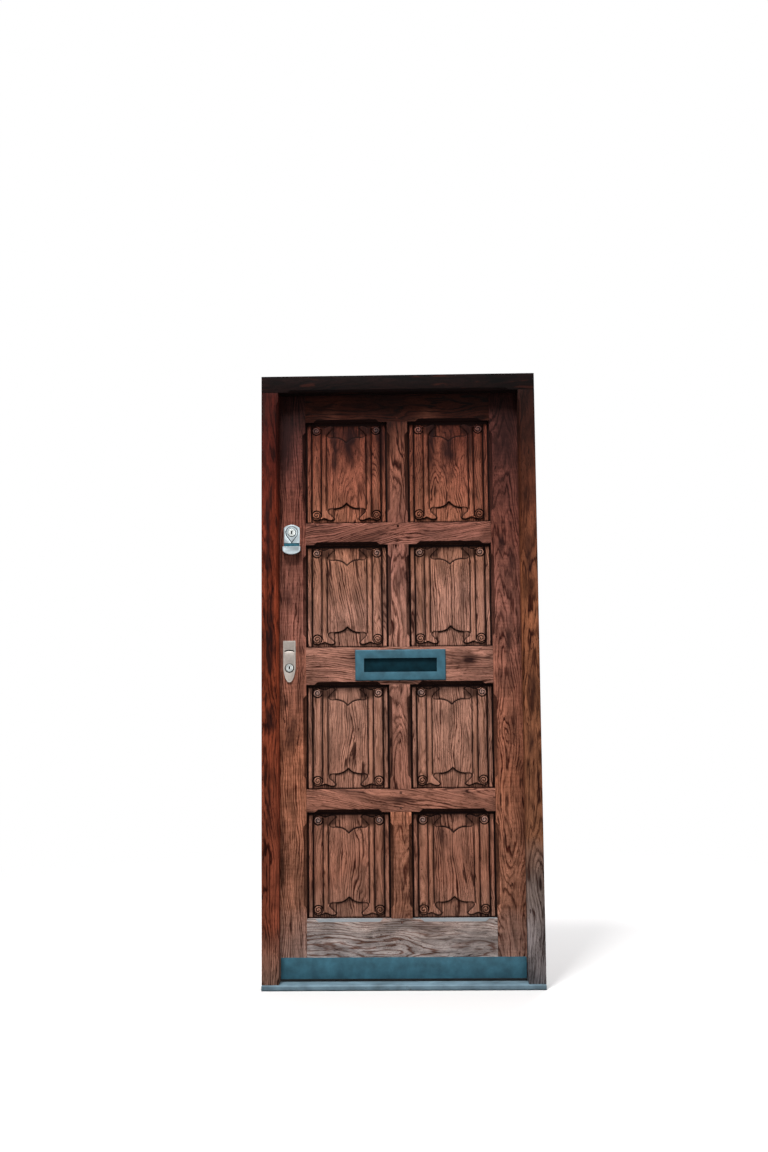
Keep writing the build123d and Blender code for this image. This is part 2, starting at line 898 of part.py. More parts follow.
deadbolt_nose = -leaf_edge + deadbolt_setback
deadbolt_tail = deadbolt_nose + deadbolt_length
bolt_channel = deadbolt_block(deadlock_left, deadbolt_tail + fit_clearance, sliding_clearance)
deadlock_case = deadlock_case_box - bolt_channel
window_half = deadlock_cylinder_radius + fit_clearance
cylinder_window = block(
    deadlock_x - window_half,
    deadlock_x + window_half,
    leaf_front,
    leaf_back,
    deadlock_z - window_half,
    deadlock_z + window_half,
)
deadlock_case -= cylinder_window
save("deadlock_case", deadlock_case)
save("deadbolt", deadbolt_block(deadbolt_nose, deadbolt_tail, 0))

lock_plate_z = deadlock_case_foot + deadlock_case_height / 2


def lock_plate(x0, x1, width, height):
    return block(
        x0,
        x1,
        leaf_middle - width / 2,
        leaf_middle + width / 2,
        lock_plate_z - height / 2,
        lock_plate_z + height / 2,
    )


faceplate_box = lock_plate(-leaf_edge, deadlock_left, faceplate_width, faceplate_height)
save("deadlock_faceplate", faceplate_box - deadbolt_block(-leaf_edge, deadlock_left, sliding_clearance))

strike_left = -rebate_face - strike_thickness
strike_box = lock_plate(strike_left, -rebate_face, strike_width, strike_height)
save("deadlock_strike", strike_box - deadbolt_block(strike_left, -rebate_face, fit_clearance))

# Frame, with what is let into it
strike_pocket = deadbolt_block(strike_left - strike_pocket_depth, strike_left, fit_clearance)
lock_jamb -= strike_box
lock_jamb -= strike_pocket
for recess in jamb_flap_recesses:
    hinge_jamb -= recess
save("lock_jamb", lock_jamb)
save("hinge_jamb", hinge_jamb)
save("frame_head", frame_head)
save("threshold", threshold)

# Letter plate: a bevelled frame outside with a hinged flap behind it, bolted through to a frame inside
letter_x = 0
letter_z = rail_foots[2] + lock_rail_height / 2 + letter_plate_lift
letter_plate_width = aperture_width + 2 * letter_plate_side
letter_plate_height = aperture_height + 2 * letter_plate_border
plate_front = leaf_front - letter_plate_thickness
slot_half_width = aperture_width / 2 + aperture_margin
slot_half_height = aperture_height / 2 + aperture_margin
letter_slot = block(
    letter_x - slot_half_width,
    letter_x + slot_half_width,
    plate_front,
    leaf_back + inner_frame_thickness,
    letter_z - slot_half_height,
    letter_z + slot_half_height,
)
letter_plate = block(
    letter_x - letter_plate_width / 2,
    letter_x + letter_plate_width / 2,
    plate_front,
    leaf_front,
    letter_z - letter_plate_height / 2,
    letter_z + letter_plate_height / 2,
)
letter_plate = chamfer(letter_plate.edges().group_by(Axis.Y)[0], length=letter_plate_bevel)
letter_plate -= block(
    letter_x - aperture_width / 2,
    letter_x + aperture_width / 2,
    plate_front,
    leaf_front,
    letter_z - aperture_height / 2,
    letter_z + aperture_height / 2,
)
flap_half_width = aperture_width / 2 + flap_overlap
flap_half_height = aperture_height / 2 + flap_overlap
flap_front = leaf_front + flap_gap
flap_axis_y = flap_front + flap_axis_setback
flap_axis_z = letter_z + flap_half_height - flap_axis_drop


def flap_bar(x0, x1, radius):
    return Pos((x0 + x1) / 2, flap_axis_y, flap_axis_z) * Rot(0, 90, 0) * Cylinder(radius, x1 - x0)


lug_start = flap_half_width + fit_clearance
lug_end = lug_start + flap_lug_thickness
flap_socket = flap_trunnion_radius + running_clearance
for side in (-1, 1):
    low, high = sorted((letter_x + side * lug_start, letter_x + side * lug_end))
    lug = block(
        low,
        high,
        leaf_front,
        flap_axis_y + flap_lug_reach,
        flap_axis_z - flap_lug_reach,
        flap_axis_z + flap_lug_reach,
    )
    letter_plate += lug - block(
        low,
        high,
        flap_axis_y - flap_socket,
        flap_axis_y + flap_socket,
        flap_axis_z - flap_socket,
        flap_axis_z + flap_socket,
    )
save("letter_plate", letter_plate)

letter_flap = block(
    letter_x - flap_half_width,
    letter_x + flap_half_width,
    flap_front,
    flap_front + flap_thickness,
    letter_z - flap_half_height,
    letter_z + flap_half_height,
)
letter_flap += block(
    letter_x - flap_half_width,
    letter_x + flap_half_width,
    flap_front,
    flap_axis_y + flap_trunnion_radius,
    flap_axis_z - flap_trunnion_radius,
    flap_axis_z + flap_trunnion_radius,
)
for side in (-1, 1):
    low, high = sorted((letter_x + side * flap_half_width, letter_x + side * lug_end))
    letter_flap += flap_bar(low, high, flap_trunnion_radius)
save("letter_flap", letter_flap)

inner_letter_frame = block(
    letter_x - letter_plate_width / 2,
    letter_x + letter_plate_width / 2,
    leaf_back,
    leaf_back + inner_frame_thickness,
    letter_z - letter_plate_height / 2,
    letter_z + letter_plate_height / 2,
)
inner_letter_frame -= letter_slot
save("inner_letter_frame", inner_letter_frame)

# Kick plate
kick_half = stop_face - kick_plate_side_gap
kick_plate = block(
    -kick_half,
    kick_half,
    leaf_front - kick_plate_thickness,
    leaf_front,
    leaf_foot,
    leaf_foot + kick_plate_height,
)
save("kick_plate", kick_plate)

# Leaf: stiles, rails, muntins and panels, with what is let into them
lock_stile = block(-leaf_edge, lock_stile_in, leaf_front, leaf_back, leaf_foot, leaf_top)
lock_stile -= faceplate_box
lock_stile -= deadlock_case_box
lock_stile -= cylinder_window
lock_stile -= rod(latch_x, leaf_front, leaf_back, latch_z, rim_radius)
hinge_stile = block(hinge_stile_in, leaf_edge, leaf_front, leaf_back, leaf_foot, leaf_top)
for recess in leaf_flap_recesses:
    hinge_stile -= recess
for cut in all_mortises + chamfers + panel_grooves:
    lock_stile -= cut
    hinge_stile -= cut
save("lock_stile", lock_stile)
save("hinge_stile", hinge_stile)

rail_names = ["bottom_rail", "lower_rail", "lock_rail", "upper_rail", "top_rail"]
for index, name in enumerate(rail_names):
    foot = rail_foots[index]
    rail = block(lock_stile_in, hinge_stile_in, leaf_front, leaf_back, foot, foot + rail_heights[index])
    for cut in muntin_mortises + chamfers + panel_grooves + pegs:
        rail -= cut
    for tenon in rail_tenons(index, 0):
        rail += tenon
    if name == "lock_rail":
        rail -= letter_slot
    save(name, rail)

for row, name in enumerate(row_names):
    foot = opening_foots[row]
    muntin = block(muntin_left, muntin_right, leaf_front, leaf_back, foot, foot + opening_height)
    for cut in chamfers + panel_grooves:
        muntin -= cut
    for tenon in muntin_tenons(row, 0):
        muntin += tenon
    for cut in pegs:
        muntin -= cut
    save("muntin_" + name, muntin)
save("joint_pegs", group(pegs))

for column, x in opening_lefts.items():
    for name, z in zip(row_names, opening_foots):
        save("linenfold_panel_" + name + "_" + column, linenfold_panel(x, z))
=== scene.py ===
from functools import partial
from math import cos, pi, radians, sin

import bpy
import numpy as np
from mathutils import Matrix, Vector


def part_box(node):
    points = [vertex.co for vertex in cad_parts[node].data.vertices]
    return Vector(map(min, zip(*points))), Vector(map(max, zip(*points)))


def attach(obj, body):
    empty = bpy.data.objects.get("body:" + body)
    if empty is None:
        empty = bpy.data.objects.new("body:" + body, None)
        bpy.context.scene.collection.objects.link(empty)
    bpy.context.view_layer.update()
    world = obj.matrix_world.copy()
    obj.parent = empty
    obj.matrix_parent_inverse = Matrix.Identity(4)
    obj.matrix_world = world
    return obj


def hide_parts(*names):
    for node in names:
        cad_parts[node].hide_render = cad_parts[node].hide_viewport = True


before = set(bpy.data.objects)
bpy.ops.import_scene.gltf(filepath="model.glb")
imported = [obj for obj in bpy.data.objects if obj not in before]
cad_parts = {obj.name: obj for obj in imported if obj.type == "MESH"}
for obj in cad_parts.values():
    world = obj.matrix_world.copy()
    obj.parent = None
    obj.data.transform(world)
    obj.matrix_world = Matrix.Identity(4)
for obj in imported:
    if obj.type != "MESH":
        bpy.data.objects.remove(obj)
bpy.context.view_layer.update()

# Camera
# A hand-held camera four metres in front of the door, a little below the middle of the leaf and
# tipped slightly up. Its long side is the frame's 36 mm.
def new_object(name, data):
    """A new object in the scene."""
    made = bpy.data.objects.new(name, data)
    bpy.context.scene.collection.objects.link(made)
    return made


camera = new_object("camera", bpy.data.cameras.new("camera"))
camera.data.lens = 38.59
camera_place = Matrix.Translation((0.03515, -4.20042, 0.97506))
turned_left = Matrix.Rotation(0.02098, 4, "Z")
tipped_up = Matrix.Rotation(pi / 2 + 0.09328, 4, "X")
rolled = Matrix.Rotation(-0.00932, 4, "Z")
camera.matrix_world = camera_place @ turned_left @ tipped_up @ rolled
bpy.context.scene.camera = camera
bpy.context.scene.view_settings.view_transform = "Standard"


# Floor, white background and studio lights
# A pale matt floor under the sill, a background that is white to the camera and in reflections, one
# large soft lamp high in front, as an overcast sky lights a doorway, and two weaker ones.
def linear(colour):
    """An sRGB hex colour as linear values with an alpha of 1."""
    shares = [int(colour[i:i + 2], 16) / 255 for i in (1, 3, 5)]
    return tuple(s / 12.92 if s <= 0.04045 else ((s + 0.055) / 1.055) ** 2.4 for s in shares) + (1.0,)


def add_node(tree, kind, settings, links=None):
    """Adds one shader node with its settings, and links its sockets to other sockets or nodes.

    A setting is a property, a socket's value or a ramp's stops. A colour is a hex string. A node
    given as a link stands for its first output in use.
    """
    node = tree.nodes.new("ShaderNode" + kind)
    for key, value in settings.items():
        if isinstance(value, str) and value.startswith("#"):
            value = linear(value)
        if key == "stops":
            ramp = node.color_ramp.elements
            ramp[0].position = value[0][0]
            ramp[1].position = value[-1][0]
            for place, _ in value[1:-1]:
                ramp.new(place)
            for element, (_, tone) in zip(ramp, value):
                element.color = linear(tone) if isinstance(tone, str) else (tone, tone, tone, 1)
        elif isinstance(key, int) or key in node.inputs:
            node.inputs[key].default_value = value
        else:
            setattr(node, key, value)
    for key, source in (links or {}).items():
        if isinstance(source, bpy.types.Node):
            source = next(output for output in source.outputs if output.enabled)
        tree.links.new(source, node.inputs[key])
    return node


def new_material(name):
    """An empty material and the function that adds nodes to it."""
    material = bpy.data.materials.new(name)
    material.use_nodes = True
    material.node_tree.nodes.clear()
    return material, partial(add_node, material.node_tree)


def seen_directly(add):
    """1 for rays from the camera, a mirror or glass, and 0 for the rays that carry light."""
    rays = add("LightPath", {}).outputs
    seen = add("Math", {"operation": "MAXIMUM"}, {0: rays["Is Camera Ray"], 1: rays["Is Glossy Ray"]})
    return add("Math", {"operation": "MAXIMUM"}, {0: seen, 1: rays["Is Transmission Ray"]})


def select_only(piece):
    """Deselects everything, then selects one piece and makes it active."""
    bpy.ops.object.select_all(action="DESELECT")
    piece.select_set(True)
    bpy.context.view_layer.objects.active = piece


def new_shape(operator, **settings):
    """A new mesh made by one of Blender's operators, with its place and size applied."""
    bpy.ops.object.select_all(action="DESELECT")
    operator(**settings)
    bpy.ops.object.transform_apply()
    return bpy.context.object


# The floor is matt paint: pale where it is seen and dull in the light it throws back, so that the
# door's foot isn't lit from below. It fades to pure white away from the door.
floor = new_shape(bpy.ops.mesh.primitive_plane_add, size=60, location=(0, 0, -0.0005))
floor.name = "floor"
floor_paint, add = new_material("pale matt floor")
seen = seen_directly(add)
pale = add("BsdfDiffuse", {"Color": "#e6e5e3"})
dull = add("BsdfDiffuse", {"Color": "#6a6866"})
near = add("MixShader", {}, {0: seen, 1: dull, 2: pale})
place = add("TexCoord", {}).outputs["Object"]
distance = add("VectorMath", {"operation": "LENGTH"}, {0: place})
far = add("MapRange", {"interpolation_type": "SMOOTHSTEP", "From Min": 1.2, "From Max": 3.6}, {
    "Value": distance})
far = add("Math", {"operation": "MULTIPLY"}, {0: far, 1: seen})
white = add("Emission", {"Color": "#ffffff", "Strength": 1.0})
surface = add("MixShader", {}, {0: far, 1: near, 2: white})
add("OutputMaterial", {}, {"Surface": surface})
floor.data.materials.append(floor_paint)

world = bpy.data.worlds.new("studio")
bpy.context.scene.world = world
world.use_nodes = True
world.node_tree.nodes.clear()
add = partial(add_node, world.node_tree)
up = add("TexCoord", {}).outputs["Generated"]
up = add("SeparateXYZ", {}, {0: up}).outputs["Z"]
glow = add("MapRange", {"From Min": -0.05, "From Max": 0.5, "To Min": 0.06, "To Max": 0.5}, {"Value": up})
dim_sky = add("Background", {"Color": "#f6f7ff"}, {"Strength": glow})
white_sky = add("Background", {"Color": "#ffffff", "Strength": 1.0})
sky = add("MixShader", {}, {0: seen_directly(add), 1: dim_sky, 2: white_sky})
add("OutputWorld", {}, {"Surface": sky})


def soft_lamp(name, place, target_height, size, power):
    """A square soft box at a place, turned to a height on the door's middle line."""
    lamp = new_object(name, bpy.data.lights.new(name, "AREA"))
    lamp.data.size = size
    lamp.data.energy = power
    lamp.location = place
    lamp.rotation_euler = (Vector((0, 0, target_height)) - Vector(place)).to_track_quat("-Z", "Y").to_euler()


soft_lamp("sky_lamp", (-0.9, -2.3, 5.6), 0.9, 1.3, 350)
soft_lamp("fill_lamp", (1.2, -4.8, 1.8), 1.0, 2.0, 42)
soft_lamp("back_lamp", (0.8, 3.2, 4.6), 0.9, 2.2, 200)


# Frame of two jambs and a head
# Oak, planed, tenoned together at the top corners and oiled red-brown. Rain and boots reach its
# foot, where it goes pale; near the head its near-black is painted shade of the hood over the doorway.
def mark(piece, attribute, values, domain="FACE"):
    """Writes how strongly something shows on each face, point or edge of a piece."""
    piece.data.attributes.new(attribute, "FLOAT", domain).data.foreach_set("value", values)


def worn_copy(node, rounding, clamp=False):
    """A copy of a CAD node, merged, with its long outward arrises rubbed round."""
    piece = new_object("worn_" + node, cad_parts[node].data.copy())
    select_only(piece)
    bpy.ops.object.mode_set(mode="EDIT")
    bpy.ops.mesh.select_all(action="SELECT")
    bpy.ops.mesh.remove_doubles(threshold=0.000002)
    bpy.ops.mesh.customdata_custom_splitnormals_clear()
    bpy.ops.mesh.dissolve_limited(angle_limit=radians(0.5))
    bpy.ops.object.mode_set(mode="OBJECT")
    if rounding:
        mesh = piece.data
        sides = {}
        for face in mesh.polygons:
            corners = list(face.vertices)
            for start, end in zip(corners, corners[1:] + corners[:1]):
                sides.setdefault((min(start, end), max(start, end)), []).append((face.normal, start, end))
        shortest = 0.004
        arrises = []
        for edge in mesh.edges:
            (first, start, end), (second, _, _) = sides[tuple(sorted(edge.vertices))]
            run = mesh.vertices[end].co - mesh.vertices[start].co
            outward = second.dot(first.cross(run)) < 0
            arrises.append(float(outward and run.length > shortest and first.angle(second) > radians(35)))
        mark(piece, "bevel_weight_edge", arrises, "EDGE")
        bevel = piece.modifiers.new("rubbed arrises", "BEVEL")
        bevel.width = rounding
        bevel.segments = 2
        bevel.limit_method = "WEIGHT"
        bevel.use_clamp_overlap = clamp
        bpy.ops.object.modifier_apply(modifier=bevel.name)
    bpy.ops.object.shade_smooth_by_angle(angle=radians(30))
    return piece


def vectors(elements, kind):
    """One vector of each vertex or face, as rows."""
    values = np.zeros(len(elements) * 3)
    elements.foreach_get(kind, values)
    return values.reshape(-1, 3)


def lay_grain(piece, along, pith, lean, seed):
    """Writes where each point lay in its log: across it, towards the pith, and along the pith.

    pith is how far aside and how deep the log's middle lies, and lean how far the board was sawn
    off its line in each, per metre of length.
    """
    places = vectors(piece.data.vertices, "co")
    x, y, z = (places - (places.min(0) + places.max(0)) / 2).T
    across, length = (x, z) if along == "z" else (z, x)
    aside = across - pith[0] + lean[0] * length
    depth = y + pith[1] + lean[1] * length
    # Each seed lies 3.7 m further on, so that no two boards show the same figure
    log = np.column_stack([aside, depth, length + 3.7 * seed])
    piece.data.attributes.new("grain", "FLOAT_VECTOR", "POINT").data.foreach_set("vector", log.ravel())


def fit(piece, body, slot, material, *nodes):
    """Gives a finished piece its material, its body, its slot and the CAD nodes it stands for."""
    piece.data.materials.clear()
    piece.data.materials.append(material)
    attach(piece, body)
    if nodes:
        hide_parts(*nodes)


def long_noise(add, source, sizes_mm, detail):
    """Noise whose lumps have the given sizes along x, y and z."""
    scaled = add("VectorMath", {"operation": "MULTIPLY", 1: [1000 / size for size in sizes_mm]}, {0: source})
    return add("TexNoise", {"Scale": 1.0, "Detail": detail}, {"Vector": scaled})


def show(add, settings, colour, rough, relief, strength, depth):
    """Ends a material with its colour, its roughness and a bump of some strength and depth."""
    bump = add("Bump", {"Strength": strength, "Distance": depth}, {"Height": relief})
    shader = add("BsdfPrincipled", settings, {"Base Color": colour, "Roughness": rough, "Normal": bump})
    add("OutputMaterial", {}, {"Surface": shader})


def oak(name, heights, ring_mm, figure_mm, stain_share, dark_places=(), ring_tint="#472217",
        ray_figure=0.0, back_mm=29.5):
    """Weathered oak. The grain attribute gives each board its own rings, streaks and pores.

    heights are colours from the foot at 0 to the head at 1; their near-black top stops are partly
    painted shade of the hood over the doorway. dark_places are darker patches, each with its x, z,
    half width and half height in millimetres and its darkness: stains, and near the head painted
    shade. Behind back_mm the oak faces indoors and never weathered.
    """
    material, add = new_material(name)
    grain = add("Attribute", {"attribute_name": "grain"}).outputs["Vector"]

    def marks(width_mm, length_mm, source, detail, levels):
        """Noise drawn out along the grain and set between levels of (noise, strength)."""
        fibre = long_noise(add, source, (width_mm, width_mm, length_mm), detail)
        return add("ValToRGB", {"stops": levels}, {"Fac": fibre})

    # The pith wanders over 70 mm across and 260 mm along, so the rings bend
    wander = long_noise(add, grain, (70, 70, 260), 1.5).outputs["Color"]
    wander = add("VectorMath", {"operation": "SUBTRACT", 1: (0.5, 0.5, 0.5)}, {0: wander})
    sway = (figure_mm / 1000, figure_mm / 1000, 0)
    wander = add("VectorMath", {"operation": "MULTIPLY", 1: sway}, {0: wander})
    log = add("VectorMath", {"operation": "ADD"}, {0: grain, 1: wander})

    # Growth rings: each year ends in a dark line of open pores; some years and patches are faint
    flat = add("VectorMath", {"operation": "MULTIPLY", 1: (1, 1, 0)}, {0: log})
    radius = add("VectorMath", {"operation": "LENGTH"}, {0: flat})
    ring = add("Math", {"operation": "MULTIPLY", 1: 1000 / ring_mm}, {0: radius})
    ripple = marks(9, 70, grain, 1.0, [(0.3, 0.0), (0.7, 0.5)])
    ring = add("Math", {"operation": "ADD"}, {0: ring, 1: ripple})
    ring = add("Math", {"operation": "FRACT"}, {0: ring})
    line = [(0.0, 1.0), (0.14, 0.9), (0.32, 0.15), (0.5, 0.0), (0.84, 0.08), (1.0, 1.0)]
    rings = add("ValToRGB", {"stops": line}, {"Fac": ring})
    years = add("TexNoise", {"noise_dimensions": "1D", "Scale": 55.0, "Detail": 1.0}, {"W": radius})
    years = add("MapRange", {"From Min": 0.36, "From Max": 0.56, "To Min": 0.5}, {"Value": years})
    patchy = marks(34, 200, grain, 1.0, [(0.36, 0.4), (0.54, 1.0)])
    for share in (years, patchy):
        rings = add("Math", {"operation": "MULTIPLY"}, {0: rings, 1: share})

    # Colour goes by height: grey where rain reaches the foot, and dark at the top, partly old oil kept
    # in the shelter and partly painted shade of the hood over the doorway
    place = add("TexCoord", {}).outputs["Object"]
    split = add("SeparateXYZ", {}, {0: place}).outputs
    blotch = add("TexNoise", {"Scale": 3.5, "Detail": 3.0}, {"Vector": place})
    level = add("Math", {"operation": "MULTIPLY_ADD", 1: 0.4}, {0: blotch, 2: split["Z"]})
    level = add("MapRange", {"From Min": 0.2, "From Max": 2.25}, {"Value": level})
    colour = add("ValToRGB", {"stops": heights}, {"Fac": level})

    # Lighter and darker fibre, from fine streaks to broad clouds
    streaks = marks(2.6, 130, log, 2.0, [(0.36, 0.8), (0.5, 1.0), (0.64, 1.12)])
    bands = marks(13, 420, log, 1.0, [(0.36, 0.74), (0.6, 1.14)])
    clouds = marks(55, 110, grain, 3.0, [(0.38, 0.68), (0.5, 1.0), (0.62, 1.14)])
    rays = marks(60, 9, grain, 1.0, [(0.4, 1 - ray_figure), (0.6, 1 + ray_figure)])
    for tone in (streaks, bands, clouds, rays):
        colour = add("Mix", {"data_type": "RGBA", "blend_type": "MULTIPLY", 0: 1.0}, {6: colour, 7: tone})

    # Dark rings, checks, pores and stains; the pores are drawn 1 mm wide so that they show
    checks = marks(3.0, 90, log, 1.0, [(0.67, 0.0), (0.72, 0.9)])
    pores = marks(1.0, 16, log, 1.0, [(0.57, 0.0), (0.66, 0.6)])
    stains = marks(16, 130, log, 3.0, [(0.68 - 0.2 * stain_share, 0.0), (0.75 - 0.2 * stain_share, 0.9)])
    for share, dark in ((rings, ring_tint), (checks, "#4a241a"), (pores, "#5a3527")):
        colour = add("Mix", {"data_type": "RGBA", "blend_type": "MULTIPLY", 7: dark}, {0: share, 6: colour})
    colour = add("Mix", {"data_type": "RGBA", 7: "#2a120d"}, {0: stains, 6: colour})

    # Darker patches in given places, their edges ragged by 20 mm across and 59 mm along the grain:
    # stains, and near the door's head painted shade of the hood
    ragged = long_noise(add, grain, (20, 20, 1000 / 17), 4.0)
    for x, z, half_width, half_height, darkness in dark_places:
        away = add("VectorMath", {"operation": "SUBTRACT", 1: (x / 1000, 0, z / 1000)}, {0: place})
        reach = (1000 / half_width, 0, 1000 / half_height)
        away = add("VectorMath", {"operation": "MULTIPLY", 1: reach}, {0: away})
        away = add("VectorMath", {"operation": "LENGTH"}, {0: away})
        away = add("Math", {"operation": "MULTIPLY_ADD", 1: 1.8}, {0: ragged, 2: away})
        shade = add("MapRange", {"From Min": 1.1, "From Max": 2.1, "To Min": darkness, "To Max": 0.0}, {
            "Value": away})
        colour = add("Mix", {"data_type": "RGBA", 7: "#1f0d0c"}, {0: shade, 6: colour})

    # The side that faces indoors is plain oiled oak with quiet rings
    indoors = add("MapRange", {"From Min": back_mm / 1000, "From Max": back_mm / 1000 + 0.0006}, {
        "Value": split["Y"]})
    plain = add("Mix", {"data_type": "RGBA", 6: "#96663f", 7: "#5f3b24"}, {0: rings})
    for tone in (streaks, bands):
        plain = add("Mix", {"data_type": "RGBA", "blend_type": "MULTIPLY", 0: 0.7}, {6: plain, 7: tone})
    colour = add("Mix", {"data_type": "RGBA"}, {0: indoors, 6: colour, 7: plain})

    # Painted on the mesh: lighter fold crests, partly rubbed wear and partly painted highlight; pale
    # painted highlights on upward chamfers and scrolls; and grime with painted shade in every recess
    for attribute, tint in (("worn", "#bd8468"), ("washed", "#93a0a6"), ("grime", "#120504")):
        share = add("Attribute", {"attribute_name": attribute}).outputs["Fac"]
        colour = add("Mix", {"data_type": "RGBA", 7: tint}, {0: share, 6: colour})

    relief = streaks
    for hollow in (rings, pores):
        relief = add("Math", {"operation": "SUBTRACT"}, {0: relief, 1: hollow})
    rough = add("MapRange", {"From Max": 1.4, "To Min": 0.55, "To Max": 0.75}, {"Value": streaks})
    show(add, {"IOR": 1.45, "Specular IOR Level": 0.07}, colour, rough, relief, 0.5, 0.0005)
    return material


# The lock side's thin old oil reads as deep red-brown with long black water runs; its near-black
# top is painted shade of the hood
lock_jamb_oak = oak(
    "oiled oak, lock side",
    [(0.0, "#94705f"), (0.1, "#96503a"), (0.5, "#8c4129"), (0.75, "#75301e"), (0.9, "#4a1a12"),
     (1.0, "#30100c")],
    ring_mm=7.0, figure_mm=45, stain_share=0.45, back_mm=4, dark_places=[
        (-441, 880, 22, 60, 0.9), (-436, 1180, 16, 150, 0.85), (-446, 1500, 13, 180, 0.85),
        (-440, 620, 10, 120, 0.8)])
# The hinge side gets more sun and rain: a tanner brown, bleached to silver grey at its foot, and
# near black at the top as painted shade of the hood
hinge_jamb_oak = oak(
    "oiled oak, hinge side",
    [(0.0, "#8e9199"), (0.13, "#85746c"), (0.22, "#86583f"), (0.6, "#8a5439"), (0.8, "#5e3322"),
     (0.9, "#2f160f"), (1.0, "#1c0c09")],
    ring_mm=8.0, figure_mm=60, stain_share=0.3, back_mm=4, dark_places=[
        (437, 808, 16, 45, 0.85), (441, 976, 18, 80, 0.7), (436, 1420, 14, 90, 0.7)])
# The head is nearly black: painted shade of the hood over old oiled oak
head_oak = oak("oiled oak, head", [(0.0, "#190b08"), (1.0, "#120706")], 6.0, 40, 0.3, back_mm=4)
jamb_rounding = 0.0012
for node, material, pith_aside, seed in (
        ("lock_jamb", lock_jamb_oak, -0.03, 0.88), ("hinge_jamb", hinge_jamb_oak, 0.02, 1.08)):
    jamb = worn_copy(node, jamb_rounding)
    lay_grain(jamb, "z", (pith_aside, 0.11), (0.012, 0.05), seed)
    fit(jamb, "frame", "frame_oak", material, node)
head = worn_copy("frame_head", jamb_rounding)
lay_grain(head, "x", (0.01, 0.12), (0.01, 0.04), 2.0)
fit(head, "frame", "frame_oak", head_oak, "frame_head")


# Sill
# A hardwood sill under both jambs, painted pale blue-grey. The paint is rubbed thin where feet
# cross it, and its top behind the line of the closed leaf is painted near black as shade under the leaf.
def paint(name, colour, worn_colour, patch_mm, worn_share, roughness, gloss=0.25):
    """Brushed oil paint: faint brush lines, blotches of fading and thin spots at the worn colour."""
    material, add = new_material(name)
    place = add("TexCoord", {}).outputs["Object"]
    fading = add("TexNoise", {"Scale": 1000 / patch_mm, "Detail": 4.0, "Roughness": 0.6}, {"Vector": place})
    tones = add("ValToRGB", {"stops": [(0.3, 0.62), (0.7, 1.32)]}, {"Fac": fading})
    shade = add("Mix", {"data_type": "RGBA", "blend_type": "MULTIPLY", 0: 1.0, 6: colour}, {7: tones})
    wear = add("TexNoise", {"Scale": 3000 / patch_mm, "Detail": 6.0, "Roughness": 0.7}, {"Vector": place})
    bare = 0.75 - 0.3 * worn_share
    wear = add("MapRange", {"From Min": bare, "From Max": bare + 0.1, "To Max": 0.85}, {"Value": wear})
    # Marked faces go near black: painted shade inside a plate's opening and on the sill under the leaf
    grime = add("Attribute", {"attribute_name": "grime"}).outputs["Fac"]
    for share, tint in ((wear, worn_colour), (grime, "#0a1215")):
        shade = add("Mix", {"data_type": "RGBA", 7: tint}, {0: share, 6: shade})
    brush = long_noise(add, place, (40, 10 / 7, 10 / 7), 2.0)
    rough = add("MapRange", {"To Min": roughness - 0.08, "To Max": roughness + 0.12}, {"Value": fading})
    rough = add("Math", {"operation": "MAXIMUM"}, {0: rough, 1: grime})
    show(add, {"IOR": 1.5, "Specular IOR Level": gloss}, shade, rough, brush, 0.35, 0.0003)
    return material


# Old outdoor gloss gone chalky: a cool pale blue with grey scuffs
sill_paint = paint("pale blue-grey sill paint", "#6a828e", "#565f60", 60, 0.5, 0.5)
leaf_line = 0.001
sill = worn_copy("threshold", 0.0012)
select_only(sill)
bpy.ops.object.mode_set(mode="EDIT")
bpy.ops.mesh.select_all(action="SELECT")
bpy.ops.mesh.bisect(plane_co=(0, leaf_line, 0), plane_no=(0, 1, 0))
bpy.ops.object.mode_set(mode="OBJECT")
# Painted shade: the top behind the leaf line goes near black, as it lies in shade under the leaf
dirt_and_shade = [0.93 if face.center.y > leaf_line and face.normal.z > 0.5 else 0.0 for face in sill.data.polygons]
mark(sill, "grime", dirt_and_shade)
fit(sill, "frame", "painted_sill", sill_paint, "threshold")


# Stiles, rails and muntins of the leaf
# Oak boards 44 mm thick, mortised and tenoned, with stopped chamfers round the panels. Vertical
# boards carry upright grain and rails level grain; each board shows its own figure.
def leaf_board(node, along, material, pith, lean, seed):
    """One board of the leaf. Its chamfers are darkened: heavily under a rail and beside an opening,
    which is painted shade, and a little on top. The bottom rail's upward chamfers get a pale
    painted highlight.
    """
    board = worn_copy(node, 0.0008)
    lay_grain(board, along, pith, lean, seed)
    faces = board.data.polygons
    across, out, up = vectors(faces, "normal").T
    chamfer = (vectors(faces, "center")[:, 1] < 0.022) & (out > -0.93)
    if along == "x":
        grime = np.where(chamfer & (up < -0.12), 0.96, np.where(chamfer & (up > 0.12), 0.25, 0))
    else:
        grime = np.where(chamfer & (abs(across) > 0.12), 0.68, 0)
    mark(board, "grime", grime)
    # Pale painted highlight on the bottom rail's upward chamfers
    washed = np.where(chamfer & (up > 0.25), 0.75 if node == "bottom_rail" else 0, 0)
    mark(board, "washed", washed)
    fit(board, "leaf", "leaf_oak", material, node)


